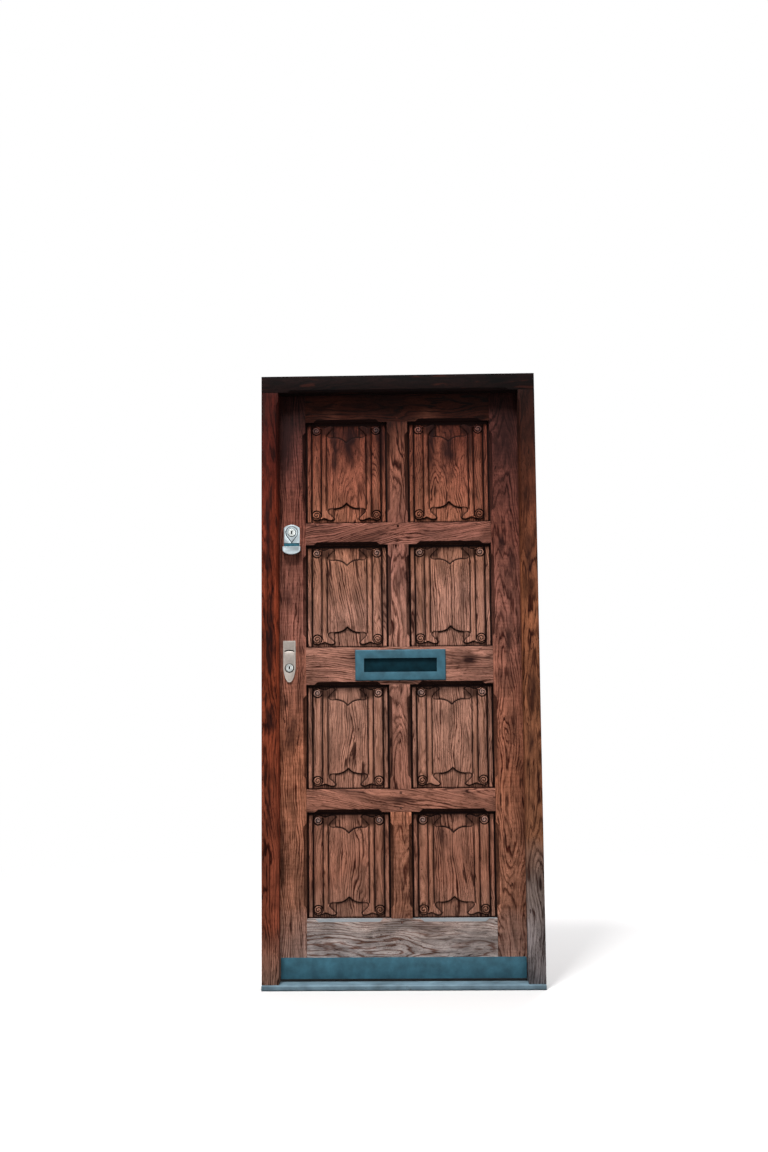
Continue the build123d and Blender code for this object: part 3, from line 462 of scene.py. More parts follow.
# Weathered stiles read as dry pinkish brown with dark stains where hands and drips reach; near the
# head they go near black, partly stains and partly painted shade of the hood
stile_oak = oak(
    "weathered stile oak",
    [(0.0, "#a98f85"), (0.12, "#b0785f"), (0.35, "#b67356"), (0.6, "#a36a5a"), (0.76, "#7c483b"),
     (0.88, "#56302a"), (0.95, "#2c1512"), (1.0, "#1c0c0a")],
    ring_mm=7.0, figure_mm=50, stain_share=0.3, ring_tint="#55291c", ray_figure=0.1, dark_places=[
        (-392, 1830, 30, 170, 0.92), (-380, 1290, 26, 45, 0.7), (-372, 831, 30, 70, 0.7),
        (-402, 470, 18, 120, 0.8), (372, 1850, 44, 150, 0.75), (378, 1420, 18, 60, 0.85),
        (352, 1465, 12, 40, 0.7), (368, 1140, 12, 60, 0.8), (372, 1100, 90, 900, 0.3),
        (-340, 1150, 12, 300, 0.3), (-3, 330, 50, 220, 0.4)])
rail_tones = [
    (0.0, "#b8adaa"), (0.09, "#b0a098"), (0.16, "#9d7565"), (0.22, "#946453"), (0.3, "#a66f5b"),
    (0.5, "#a87563"), (0.6, "#b47f6c"), (0.68, "#a06d5e"), (0.74, "#8c594b"), (0.8, "#925e4d"),
    (0.86, "#83503f"), (0.93, "#34170f"), (1.0, "#1a0a08")]
# Rails are of the same oak: paler low down, where rain reaches them, and near black at the head,
# which is painted shade of the hood
rail_oak = oak("weathered rail oak", rail_tones, ring_mm=7.5, figure_mm=60, stain_share=0.25,
               dark_places=[(229, 1079, 44, 26, 0.95), (-3, 610, 60, 16, 0.7)])
# Splashes have washed the bottom rail to a bare silver grey with wide soft rings
broad_oak = oak("washed bottom rail oak", rail_tones, ring_mm=9.0, figure_mm=70, stain_share=0.1,
                ring_tint="#a08074")
leaf_board("lock_stile", "z", stile_oak, (0.09, 0.06), (0.02, 0.03), 1)
leaf_board("hinge_stile", "z", stile_oak, (-0.01, 0.045), (0.01, 0.10), 2)
leaf_board("bottom_rail", "x", broad_oak, (0.0, 0.035), (0.03, 0.08), 3)
leaf_board("lower_rail", "x", rail_oak, (0.08, 0.04), (0.16, 0.05), 4)
leaf_board("lock_rail", "x", rail_oak, (0.09, 0.05), (0.10, 0.05), 5)
leaf_board("upper_rail", "x", rail_oak, (-0.10, 0.04), (-0.22, 0.05), 6)
leaf_board("top_rail", "x", rail_oak, (0.02, 0.10), (0.01, 0.03), 7)
leaf_board("muntin_bottom", "z", stile_oak, (0.02, 0.08), (0.02, 0.08), 8)
leaf_board("muntin_lower", "z", rail_oak, (-0.01, 0.06), (0.01, 0.10), 9)
leaf_board("muntin_upper", "z", rail_oak, (0.03, 0.08), (0.02, 0.05), 10)
leaf_board("muntin_top", "z", rail_oak, (-0.04, 0.09), (0.01, 0.06), 11)


# Joint pegs
# Square oak pegs driven through each rail into the muntin tenons. Their end grain drinks more oil,
# so they show as small dark squares.
peg_oak = oak("peg end grain", [(0.0, "#7d6258"), (0.5, "#6e4030"), (1.0, "#3a1a14")], 3.0, 10, 0.3)
pegs = worn_copy("joint_pegs", 0.0006)
lay_grain(pegs, "z", (0.01, 0.03), (0.0, 0.0), 12)
fit(pegs, "leaf", "leaf_oak", peg_oak, "joint_pegs")


# Linenfold panels
# Eight oak panels carved by hand as folded linen: a hollow field with a middle ridge, a narrow fold
# and an outer roll each side, an ogee hem with hooked corners and scrolls at both ends, and a plain
# strip down each edge. They float in grooves in the boards round them. All sizes are in millimetres.
opening_lefts = {"left": -0.321, "right": 0.032}
opening_foots = {"bottom": 0.221, "lower": 0.648, "upper": 1.126, "top": 1.553}
opening_width = 282
opening_height = 351
tongue = 9.2
end_reach = 78
ground = 1.4
field_half = 66.5
field_rise = 8.4
field_hollow = 13.2 * 0.95
fold_middle = 77.2
fold_half = 8.0
fold_rise = 7.0
roll_middle = 102.6
roll_half = 14.4
roll_rise = 8.2
roll_outside = 117.2
strip_inside = 121.5
strip_outside = 134.0
strip_rise = 5.0
scroll_middle = (103.4, 27.5)
scroll_radius = 15.6
scroll_pitch = 7.4
scroll_rise = 10.0
hem_arch = [(0, 71.5), (4, 68.5), (9, 63.8), (15, 59.2), (22, 56), (31, 53.6), (42, 52.4), (53, 52.6),
            (60, 51.4)]
hem_hook = [(64.5, 48.2), (66.3, 43.8), (65.2, 38.6), (61.4, 33.6), (55.5, 28.6), (49.5, 22.8),
            (44.4, 16.6)]
hem_sole = [(46.6, 13.2), (52, 11.2), (59, 11.8), (66.5, 14.6), (73, 17.4), (79, 18.4), (85, 16.8),
            (91, 14.6)]
curl_outline = [(44, 53), (60, 54), (67, 48)] + hem_hook[1:6] + [(44, 17)]


def rounded_line(points, cuts):
    """A smooth line through points, each span divided by cuts."""
    line = [np.array(point, float) for point in points[:1] + points + points[-1:]]
    made = []
    for before, start, end, after in zip(line, line[1:], line[2:], line[3:]):
        slope = end - before
        bend = 2 * before - 5 * start + 4 * end - after
        turn = 3 * start - before - 3 * end + after
        for t in np.arange(cuts) / cuts:
            made.append(0.5 * (2 * start + slope * t + bend * t * t + turn * t ** 3))
    return made + [line[-1]]


def depth_inside(outline, u, v):
    """Signed distance to a closed outline, positive inside it."""
    nearest = np.full(u.shape, 1e9)
    inside = np.zeros(u.shape, bool)
    for (x0, z0), (x1, z1) in zip(outline, np.roll(outline, -1, axis=0)):
        span_x = x1 - x0
        span_z = z1 - z0
        share = np.clip(((u - x0) * span_x + (v - z0) * span_z) / (span_x ** 2 + span_z ** 2 + 1e-12), 0, 1)
        nearest = np.minimum(nearest, np.hypot(u - x0 - share * span_x, v - z0 - share * span_z))
        crosses = (z0 > v) != (z1 > v)
        meets = x0 + (v - z0) * span_x / (span_z + 1e-12)
        inside ^= crosses & (u < meets)
    return np.where(inside, nearest, -nearest)


def ease(value, low, high):
    """A smooth step from 0 at low to 1 at high."""
    share = np.clip((value - low) / (high - low), 0, 1)
    return share * share * (3 - 2 * share)


def line_of(value, middle, half_width, sharpness):
    """A soft band round a middle, 1 on it and fading over its half width."""
    return np.exp(-((value - middle) / half_width) ** sharpness)


def around(x, z, radius, first=0, last=353, cuts=51):
    """Points on a circle from one angle to another, in degrees, or once round, short of the start."""
    turns = [radians(first + (last - first) * i / cuts) for i in range(cuts + 1)]
    return [(x + radius * cos(a), z + radius * sin(a)) for a in turns]


scroll_rim = around(*scroll_middle, scroll_radius, 225, 372, 13)
hem = rounded_line(hem_arch + hem_hook, 4) + rounded_line(hem_sole, 4) + scroll_rim
far_up = 200
past_middle = -40
cloth_outline = np.array(hem + [(roll_outside, far_up), (past_middle, far_up),
                                (past_middle, hem_arch[0][1])])
curl_patch = np.array(rounded_line(curl_outline, 2))


def cloth_section(u):
    """Height of the folded cloth above the panel's ground at a distance from the middle."""
    share = np.clip(u / field_half, 0, 1)
    field = field_rise - 1.2 * share - field_hollow * share * (1 - share)
    field = field * (1 - ease(u, field_half - 0.9, field_half + 0.5))
    fold = ground + fold_rise * np.sqrt(np.clip(1 - ((u - fold_middle) / fold_half) ** 2, 0, 1))
    fold = np.where(abs(u - fold_middle) < fold_half, fold, ground)
    roll = ground + roll_rise * np.clip(1 - abs((u - roll_middle) / roll_half) ** 2.6, 0, 1) ** 0.55
    roll = np.where(abs(u - roll_middle) < roll_half, roll, ground)
    return np.maximum(np.maximum(field, fold), roll)


def carving(u, v, edge):
    """Height of the carving, its darkening (dirt and painted shade) and its painted highlight.

    u is the distance from the panel's middle, v from its nearer end, and edge how far inside the
    cloth's outline the place lies.
    """
    boot = 7.4 * (1 - ease(v, 40, 50)) * (1 - ease(u, 79, 84)) * ((u > 40) & (v < 50))
    sole = 6.2 * (1 - ease(v, 16, 24)) * ease(u, 76, 80)
    height = np.maximum(np.maximum(cloth_section(u), boot), sole)
    from_scroll = np.hypot(u - scroll_middle[0], v - scroll_middle[1])
    turn = np.arctan2(v - scroll_middle[1], u - scroll_middle[0])
    arms = (scroll_radius - from_scroll) / scroll_pitch + (turn - pi / 2) / (2 * pi)
    off_line = abs((arms + 0.5) % 1 - 0.5) * scroll_pitch
    spiral = line_of(off_line, 0, 1.5, 4) * ease(from_scroll, 1.6, 3.4)
    disc = from_scroll < scroll_radius
    boss = scroll_rise - 2.6 * (from_scroll / scroll_radius) ** 2 - 3.6 * spiral
    height = np.where(disc, boss, height)
    height = height - 3.8 * line_of(from_scroll, scroll_radius, 1.0, 2) * (v > scroll_middle[1] - 6)
    height = height * ease(edge, -0.25, 0.12) * (0.86 + 0.14 * ease(edge, 0, 2.0))
    curl = depth_inside(curl_patch, u, v)
    curl_height = (5.4 - 2.4 * ease(u, 46, 66)) * ease(curl, -0.25, 0.8)
    height = np.where(edge < 0, np.maximum(height, curl_height), height)
    strip = ease(u, strip_inside - 0.5, strip_inside + 0.5)
    strip = strip * (1 - ease(u, strip_outside - 0.4, strip_outside + 0.8))
    height = np.maximum(height, strip_rise * strip)

    in_cloth = edge > 0
    outside = np.clip(-edge, 0, 99)
    # Painted shade with some dirt: in the grooves, at the strip's edge, in the spirals, round the scrolls, in
    # a band outside the hem, in the curl and along both ends under the rails
    recesses = (
        line_of(u, 67.9, 1.9, 4) * in_cloth * ease(v, 44, 52),
        line_of(u, 86.7, 2.2, 4) * in_cloth * ease(v, 18, 34),
        line_of(u, 119.3, 2.9, 4),
        ease(u, strip_outside - 1.0, strip_outside + 1.0),
        spiral * disc,
        line_of(from_scroll, scroll_radius, 2.4, 4) * (v > scroll_middle[1] - 10),
        line_of(outside, 0, 5.4, 4) * (edge < 0.15) * np.where(curl > 0.8, 0.8, 1.0),
        0.3 * (curl > 0) * (edge < 0),
        0.9 * line_of(curl, -0.4, 2.0, 4) * (edge < 0),
        1 - ease(v, 2, 8),
        0.6 * line_of(outside, 0, 8.0, 2) * (edge < 0.15) * (u > 46),
    )
    # The last value is a pale painted highlight on the middle of each scroll
    return height, np.max(recesses, axis=0), line_of(from_scroll, 0, 0.7 * scroll_radius, 6)


# Carved oak: silky folds with lighter crests, partly rubbed wear and partly painted highlight, black
# painted shade with some dirt in every hollow, and near-black painted shade of the hood at the top
panel_oak = oak(
    "carved panel oak",
    [(0.0, "#a88c7e"), (0.1, "#aa7c68"), (0.19, "#a8705a"), (0.4, "#b3816c"), (0.6, "#b07f6c"),
     (0.7, "#a6725b"), (0.76, "#9c624b"), (0.84, "#8e5340"), (0.92, "#643225"), (1.0, "#44201a")],
    ring_mm=6.6, figure_mm=60, stain_share=0.25, back_mm=28.7, dark_places=[
        (-170, 1850, 40, 90, 0.97), (-62, 1845, 20, 120, 0.9), (-222, 1840, 16, 120, 0.9),
        (-105, 1790, 16, 110, 0.8), (172, 1815, 30, 120, 0.95), (112, 1835, 22, 110, 0.9),
        (248, 1845, 22, 110, 0.85), (135, 500, 22, 60, 0.8), (215, 1300, 14, 90, 0.55),
        (-80, 1600, 10, 60, 0.6)])


def carved_panel(row_name, side, pith, lean, seed, highlight_strength):
    """One panel: a fine grid carved by height, then given its thickness and its tongues."""
    half = np.concatenate([np.arange(0, 30, 2.2), np.arange(30.8, 88, 1.25), np.arange(88.3, 121, 0.95),
                           np.arange(121.5, 141, 1.5), [141, 141 + tongue]])
    lines_x = np.concatenate([-half[:0:-1], half])
    end_lines = np.concatenate([[0, 2, 4, 6, 8, 9.5], np.arange(10.5, 46, 0.95),
                                np.arange(46.6, end_reach - 0.5, 1.25)])
    middle_height = opening_height - 2 * end_reach
    middle_lines = np.linspace(end_reach, opening_height - end_reach, int(middle_height / 12))
    lines_z = np.concatenate([[-tongue], end_lines, middle_lines, opening_height - end_lines[::-1],
                              [opening_height + tongue]])
    panel = new_shape(bpy.ops.mesh.primitive_grid_add, x_subdivisions=len(lines_x) - 1,
                      y_subdivisions=len(lines_z) - 1, size=2)
    panel.name = "carved_panel_" + row_name + "_" + side
    flat = vectors(panel.data.vertices, "co")
    count = len(flat)
    s = lines_x[np.rint((flat[:, 0] + 1) / 2 * (len(lines_x) - 1)).astype(int)]
    z = lines_z[np.rint((flat[:, 1] + 1) / 2 * (len(lines_z) - 1)).astype(int)]

    # The carver's hand: each panel's lines stray by up to half a millimetre
    hand = np.random.default_rng(seed)
    stray = np.zeros(count)
    for wave in (70.0, 130.0, 240.0):
        sway = 0.22 * np.sin(2 * pi * z / wave + hand.uniform(0, 6))
        stray += sway * np.sin(2 * pi * s / wave + hand.uniform(0, 6))
    upper = z > opening_height / 2
    u = abs(s) + stray
    v = np.minimum(z, opening_height - z) + 1.2 * stray

    # Points near the cloth's outline are drawn onto it, so that the hem is one clean line
    edge = depth_inside(cloth_outline, u, v)
    step = 0.05
    slope_u = (depth_inside(cloth_outline, u + step, v) - edge) / step
    slope_v = (depth_inside(cloth_outline, u, v + step) - edge) / step
    near = (abs(edge) < 0.68) & (v < end_reach - 2) & (u < roll_outside + 2)
    s = s - np.where(near, edge * slope_u * np.sign(s), 0)
    z = z - np.where(near, edge * slope_v * np.where(upper, -1, 1), 0)
    height, dirt_and_shade, pale = carving(u, v, np.where(near, 0.13, edge))
    marks = np.zeros(count)
    for wave in (9.0, 17.0, 31.0):
        ripple = np.sin(2 * pi * s / wave + hand.uniform(0, 6))
        marks += 0.11 * ripple * np.sin(2 * pi * z / (2.4 * wave) + hand.uniform(0, 6))
    # Painted shade at the upper end: a dark band under the rail's chamfer and the bay under the hooks
    painted_shade_under_hook = 0.78 * ease(u, 40, 46) * (1 - ease(v, 36, 56)) * (1 - ease(u, 84, 90))
    dirt_and_shade = np.maximum(dirt_and_shade, np.where(upper, np.maximum(1 - ease(v, 8, 15), painted_shade_under_hook), 0))
    in_opening = (abs(s) < opening_width / 2 - 0.4) & (z > 0.3) & (z < opening_height - 0.3)
    height = np.where(in_opening, height + marks * ease(height, 1, 5), 0)

    node = "linenfold_panel_" + row_name + "_" + side
    thickness = 0.0096
    face_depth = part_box(node)[1].y - thickness
    foot = opening_foots[row_name]
    middle = opening_lefts[side] + opening_width / 2000
    places = np.column_stack([middle + s / 1000, face_depth - height / 1000, foot + z / 1000])
    panel.data.vertices.foreach_set("co", places.ravel())
    panel.data.update()
    select_only(panel)
    bpy.ops.object.mode_set(mode="EDIT")
    bpy.ops.mesh.select_all(action="SELECT")
    bpy.ops.mesh.region_to_loop()
    bpy.ops.mesh.extrude_edges_move(TRANSFORM_OT_translate={"value": (0, thickness, 0)})
    bpy.ops.mesh.edge_face_add()
    bpy.ops.mesh.select_all(action="SELECT")
    bpy.ops.mesh.normals_make_consistent(inside=False)
    bpy.ops.object.mode_set(mode="OBJECT")
    bpy.ops.object.shade_smooth_by_angle(angle=radians(50))

    # Crests of the fold and roll are lighter low on the door: partly rubbed wear, partly painted highlight
    crests = 0.4 * line_of(u, fold_middle, 3.5, 2) + 0.28 * line_of(u, roll_middle, 5.0, 2)
    crests = np.where(height > 5.5, crests, 0) * ease(foot + z / 1000, 1.95, 1.2)
    grime = np.where(in_opening, np.clip(dirt_and_shade, 0, 1), 0.8)
    for attribute, values in (("grime", grime), ("washed", pale * upper * highlight_strength), ("worn", crests)):
        shares = np.zeros(len(panel.data.vertices))
        shares[:count] = values
        mark(panel, attribute, shares, "POINT")
    lay_grain(panel, "z", pith, lean, seed)
    fit(panel, "leaf", "panel_oak", panel_oak, node)


carved_panel("bottom", "left", (0.09, 0.05), (0.03, 0.06), 20, highlight_strength=0.22)
carved_panel("bottom", "right", (-0.12, 0.05), (0.05, 0.06), 21, highlight_strength=0.22)
carved_panel("lower", "left", (0.12, 0.05), (0.0, 0.02), 22, highlight_strength=0.2)
carved_panel("lower", "right", (-0.10, 0.06), (0.02, 0.04), 23, highlight_strength=0.2)
carved_panel("upper", "left", (0.11, 0.05), (0.16, 0.05), 24, highlight_strength=0.15)
carved_panel("upper", "right", (-0.12, 0.05), (0.03, 0.03), 25, highlight_strength=0.15)
carved_panel("top", "left", (0.03, 0.05), (0.03, 0.13), 26, highlight_strength=0.08)
carved_panel("top", "right", (-0.04, 0.045), (-0.03, 0.16), 27, highlight_strength=0.08)


# Kick plate, letter plate and flap
# Pressed plates painted the same teal. The letter plate has a bevelled edge and a deep opening with
# the flap hung behind it on two pins.
def soot_and_shade(piece, share):
    """Darkens a piece face by face, as painted shade in grooves and openings and as duller tones:
    share gives the strength from a face's middle and normal.
    """
    mark(piece, "grime", [share(face.center, face.normal) for face in piece.data.polygons])


def dress(node, body, slot, material, rounding, clamp=False):
    """Puts a worn copy of a CAD node in its place, in its finish."""
    fit(worn_copy(node, rounding, clamp), body, slot, material, node)


# Half-gloss teal, brushed on thick, mottled where it fades; the flap's near-black teal is painted
# shade of the deep opening
teal_paint = paint("teal plate paint", "#36606f", "#6f8a8c", 45, 0.3, 0.5)
flap_paint_with_shade = paint("teal flap paint", "#0c2a33", "#081a20", 45, 0.3, 0.6, 0.05)
dress("kick_plate", "leaf", "teal_plate", teal_paint, 0.0006)
letter_plate = worn_copy("letter_plate", 0.0008)
opening_half = 0.126
# Painted shade: the opening's inner walls go near black
soot_and_shade(letter_plate, lambda middle, normal: 0.95 * (normal.y > -0.6 and abs(middle.x) < opening_half))
fit(letter_plate, "leaf", "teal_plate", teal_paint, "letter_plate")
dress("letter_flap", "letter_flap", "teal_plate", flap_paint_with_shade, 0.0004)


# Brass, steel and enamel inside the door
# Turned and cast furniture: the letter plate's inner frame, the rim latch with its keep, and the
# deadlock with its turn are brass, plated steel and enamelled iron, and the hinges are steel.
def metal(name, colour, tarnish, roughness, scratch_mm, metallic=1.0):
    """Worn metal: fine drawn scratches, cloudy tarnish and a slightly uneven polish."""
    material, add = new_material(name)
    place = add("TexCoord", {}).outputs["Object"]
    cloud = add("TexNoise", {"Scale": 90.0, "Detail": 5.0, "Roughness": 0.65}, {"Vector": place})
    share = add("MapRange", {"From Min": 0.42, "From Max": 0.75, "To Max": 0.6}, {"Value": cloud})
    shade = add("Mix", {"data_type": "RGBA", 6: colour, 7: tarnish}, {0: share})
    # Marked faces go near black: painted shade in grooves, slots and recesses, and some duller tones
    grime = add("Attribute", {"attribute_name": "grime"}).outputs["Fac"]
    shade = add("Mix", {"data_type": "RGBA", 7: "#0c0b0b"}, {0: grime, 6: shade})
    lines = long_noise(add, place, (scratch_mm, scratch_mm, scratch_mm * 50 / 3), 2.0)
    rough = add("Math", {"operation": "MULTIPLY_ADD", 1: 0.25, 2: roughness - 0.12}, {0: cloud})
    show(add, {"Metallic": metallic}, shade, rough, lines, 0.12, 0.0001)
    return material


# Lacquer has worn off the brass, so it is warm yellow with brown clouds; zinc plating is a cool even
# grey, baked enamel a glossy brown, and the hinges' rolled steel darker than the plating
brass = metal("tarnished brass", "#b8935a", "#6f5433", 0.35, 0.4)
plated_steel = metal("zinc plated steel", "#a9acae", "#6c6f70", 0.42, 0.4)
enamel = metal("brown lock enamel", "#4a3a30", "#33271f", 0.38, 0.6, 0.0)
hinge_steel = metal("satin hinge steel", "#8f9294", "#55585a", 0.42, 0.4)
dress("inner_letter_frame", "leaf", "inner_brass", brass, 0.0006)
dress("latch_case", "leaf", "latch_enamel", enamel, 0.0006)
dress("latch_keep", "frame", "latch_enamel", enamel, 0.0006)
dress("latch_bolt", "latch_bolt", "inner_brass", brass, 0.0006)
dress("latch_knob", "latch_knob", "inner_brass", brass, 0.0015, clamp=True)
dress("latch_snib", "latch_snib", "inner_brass", brass, 0.0006)
dress("thumb_turn_plate", "leaf", "inner_brass", brass, 0.0006)
dress("thumb_turn", "thumb_turn", "inner_brass", brass, 0.0015, clamp=True)
dress("deadlock_case", "leaf", "lock_steel", plated_steel, 0)
dress("deadlock_faceplate", "leaf", "lock_steel", plated_steel, 0.0005)
dress("deadlock_strike", "frame", "lock_steel", plated_steel, 0.0004)
dress("deadbolt", "deadbolt", "lock_steel", plated_steel, 0.0006)
dress("jamb_hinge_flaps", "frame", "steel_hinge", hinge_steel, 0.0004)
dress("leaf_hinge_flaps", "leaf", "steel_hinge", hinge_steel, 0.0004)


# Night latch outside: finger pull and teal band
# A satin-chromed casting with an arched top, a raised shield round the cylinder, a recessed band
# whose deep teal is a painted reflection, and a wide rounded finger lip that throws a shadow on the stile.
latch_x = -0.3685
latch_z = 1.521
leaf_face = 0.0025


def bow(start, end, rise, cuts):
    """Points on a shallow arc from start to end, without its first point."""
    (x0, z0), (x1, z1) = start, end
    shares = [cut / cuts for cut in range(1, cuts + 1)]
    return [(x0 + (x1 - x0) * t, z0 + (z1 - z0) * t + 4 * rise * t * (1 - t)) for t in shares]


def cut_plate(name, outline, back, front):
    """A plate cut to an outline of points across and up, from its back to its front."""
    plate = new_shape(bpy.ops.mesh.primitive_circle_add, vertices=len(outline), fill_type="NGON")
    plate.name = name
    for vertex, (x, z) in zip(plate.data.vertices, outline):
        vertex.co = (x, back, z)
    bpy.ops.object.mode_set(mode="EDIT")
    bpy.ops.mesh.select_all(action="SELECT")
    bpy.ops.mesh.extrude_region_move(TRANSFORM_OT_translate={"value": (0, front - back, 0)})
    bpy.ops.mesh.select_all(action="SELECT")
    bpy.ops.mesh.normals_make_consistent(inside=False)
    bpy.ops.object.mode_set(mode="OBJECT")
    return plate


def round_edges(piece, width, segments=3, angle=35):
    """Rounds a piece's edges and shades it smooth."""
    select_only(piece)
    bevel = piece.modifiers.new("rounded", "BEVEL")
    bevel.width = width
    bevel.segments = segments
    bevel.limit_method = "ANGLE"
    bevel.angle_limit = radians(angle)
    bpy.ops.object.modifier_apply(modifier=bevel.name)
    bpy.ops.object.shade_smooth_by_angle(angle=radians(35))


def combine(piece, part, operation="UNION"):
    """Welds a part to a piece, or cuts its shape out of the piece, and deletes the part."""
    select_only(piece)
    joint = piece.modifiers.new("joint", "BOOLEAN")
    joint.operation = operation
    joint.object = part
    joint.solver = "EXACT"
    bpy.ops.object.modifier_apply(modifier=joint.name)
    bpy.data.objects.remove(part)


def cut_away(piece, outline, back, front):
    """Cuts an outline of points out of a piece, from a back to a front."""
    combine(piece, cut_plate("cut", outline, back, front), "DIFFERENCE")


def shield_outline(radius, tip):
    """A circle round the latch's axis drawn out to a point below, its sides tangent to the circle."""
    lean = np.degrees(np.arcsin(radius / tip))
    return around(latch_x, latch_z, radius, -lean, 180 + lean, 40) + [(latch_x, latch_z - tip)]


def band_outline(half, foot, top):
    """A level strip across the pull."""
    return [(latch_x - half, foot), (latch_x + half, foot), (latch_x + half, top), (latch_x - half, top)]


pull_half = 0.027
pull_top = latch_z + 0.027
pull_shoulder = pull_top - 0.011
band_top = latch_z - 0.036
band_foot = band_top - 0.013
pull_front = leaf_face - 0.005
off_front = pull_front - 0.004
groove_floor = pull_front + 0.0014
outline = [(latch_x + pull_half, pull_shoulder)]
outline += bow(outline[0], (latch_x - pull_half, pull_shoulder), 0.011, 16)
outline += [(latch_x - pull_half, band_foot), (latch_x + pull_half, band_foot)]
pull = cut_plate("night_latch_pull", outline, leaf_face, pull_front)
cut_away(pull, shield_outline(radius=0.0216, tip=0.0372), groove_floor, off_front)
combine(pull, cut_plate("shield", shield_outline(radius=0.0196, tip=0.0326), leaf_face, pull_front - 0.0008))
cut_away(pull, band_outline(0.04, band_foot - 0.001, band_top), pull_front + 0.0022, off_front)

lip_half = 0.030
lip_side = band_foot - 0.011
lip_depth = 0.016
lip_front = leaf_face - 0.020


def lip_outline(inset):
    """The finger lip's face: straight on top with a round belly below."""
    belly = around(0, 0, 1.0, 180, 360, 24)
    lip_top = band_foot - 0.4 * inset
    return [(latch_x + x * (lip_half - inset), lip_side + z * (lip_depth - inset)) for x, z in belly] + [
        (latch_x + lip_half - inset, lip_top), (latch_x - lip_half + inset, lip_top)]


finger_lip = cut_plate("finger_lip", lip_outline(0), leaf_face, lip_front)
hollow = [(x, z - 0.004) for x, z in lip_outline(0.0042)]
cut_away(finger_lip, hollow, leaf_face + 0.001, lip_front + 0.0035)
round_edges(finger_lip, 0.0016, 4, 60)
cut_away(finger_lip, lip_outline(0.0052), lip_front + 0.0008, lip_front - 0.001)
combine(pull, finger_lip)
cut_away(pull, around(latch_x, latch_z - 0.0006, 0.0142, 0, 352.5, 47), groove_floor, off_front)
cut_away(pull, around(latch_x, latch_z, 0.0125, 0, 352.5, 47), leaf_face + 0.001, lip_front)
round_edges(pull, 0.0004, 2)


def pull_soot_and_shade(middle, normal):
    """Painted shade in the grooves round the shield and the ring, a greyer shield and a darker lip face."""
    in_shield = middle.z > band_top and abs(middle.x - latch_x) < 0.0222 and middle.y < leaf_face
    if in_shield and middle.y > pull_front + 0.0002:
        return 1.0
    if in_shield and middle.y < pull_front - 0.0006 and normal.y < -0.9:
        return 0.16
    if lip_front + 0.0004 < middle.y < lip_front + 0.0015 and normal.y < -0.9:
        return 0.2
    return 0.0


soot_and_shade(pull, pull_soot_and_shade)
# Satin chrome over a zinc casting: cool, pale and silky, with few scratches
satin_chrome = metal("satin chrome", "#aab4b8", "#939da1", 0.36, 0.3)
fit(pull, "leaf", "chromed_lock", satin_chrome, "cylinder_pull")
band = band_outline(pull_half - 0.0005, band_foot + 0.0003, band_top - 0.0003)
band = cut_plate("night_latch_band", band, pull_front + 0.0023, pull_front + 0.0012)
round_edges(band, 0.0003, 2)
# The band's deep teal is a painted reflection of dark sky in a concave chrome recess: smooth, with
# a soft gloss
band_reflection_paint = paint("teal band, painted reflection", "#1f4f5c", "#16373f", 12, 0.2, 0.4)
fit(band, "leaf", "teal_plate", band_reflection_paint)


# Lock cylinders
# Two fixed nickel-plated barrels through the stile, each with a turned ring outside and a plug that
# the key turns.
mouth_radius = 0.007
plug_radius = 0.00695


def cylinder_ring(name, x, z, front, radius):
    """The fixed ring of a lock cylinder, with its front arris turned off, and a stepped mouth."""
    ring = cut_plate(name, around(x, z, radius), 0.0465, front)
    for step, back in ((0.0009, front + 0.0008), (0.00005, 0.05)):
        cut_away(ring, around(x, z, mouth_radius + step), back, front - 0.002)
    round_edges(ring, 0.0006, 2)
    return ring


def key_plug(name, x, z, front):
    """The turning plug of a lock cylinder: a flat face with a sunk mouth and a keyway."""
    plug = cut_plate(name, around(x, z, plug_radius), front + 0.0239, front)
    mouth = [(x - 0.0021, z - 0.0054), (x + 0.0026, z - 0.0054), (x + 0.0026, z + 0.0054),
             (x - 0.0021, z + 0.0054)]
    cut_away(plug, mouth, front + 0.0005, front - 0.001)
    slot = [(x - 0.0013, z - 0.0048), (x + 0.0013, z - 0.0048), (x + 0.0013, z + 0.0003),
            (x + 0.0021, z + 0.0010), (x + 0.0021, z + 0.0036), (x + 0.0008, z + 0.0048),
            (x - 0.0013, z + 0.0048)]
    cut_away(plug, slot, front + 0.012, front - 0.001)
    round_edges(plug, 0.0002, 2)
    # Painted shade: the keyway's walls go black
    soot_and_shade(plug, lambda middle, normal: 1.0 * (front + 0.0001 < middle.y < front + 0.0121
                                             and abs(middle.x - x) < 0.0028 and abs(middle.z - z) < 0.0056))
    return plug


deadlock_x = -0.3775
deadlock_z = 1.058
latch_ring_front = pull_front - 0.003
cover_front = leaf_face - 0.005
deadlock_ring_front = cover_front - 0.0015
rings = cylinder_ring("cylinder_rings", latch_x, latch_z, latch_ring_front, radius=0.0125)
combine(rings, cylinder_ring("deadlock_ring", deadlock_x, deadlock_z, deadlock_ring_front, radius=0.013))
soot_and_shade(rings, lambda middle, normal: 0.34 if middle.z < 1.2 else 0.0)
# Satin nickel is the palest metal here, warm white with a fine polish; the lower ring is duller
nickel = metal("satin nickel", "#ccd0ce", "#a8acaa", 0.32, 0.3)
fit(rings, "leaf", "lock_steel", nickel, "key_cylinders")
latch_plug = key_plug("upper_key_plug", latch_x, latch_z, latch_ring_front)
fit(latch_plug, "latch_key_plug", "key_brass", nickel, "latch_key_plug")
deadlock_plug = key_plug("lower_key_plug", deadlock_x, deadlock_z, deadlock_ring_front)
fit(deadlock_plug, "deadlock_key_plug", "key_brass", nickel, "deadlock_key_plug")


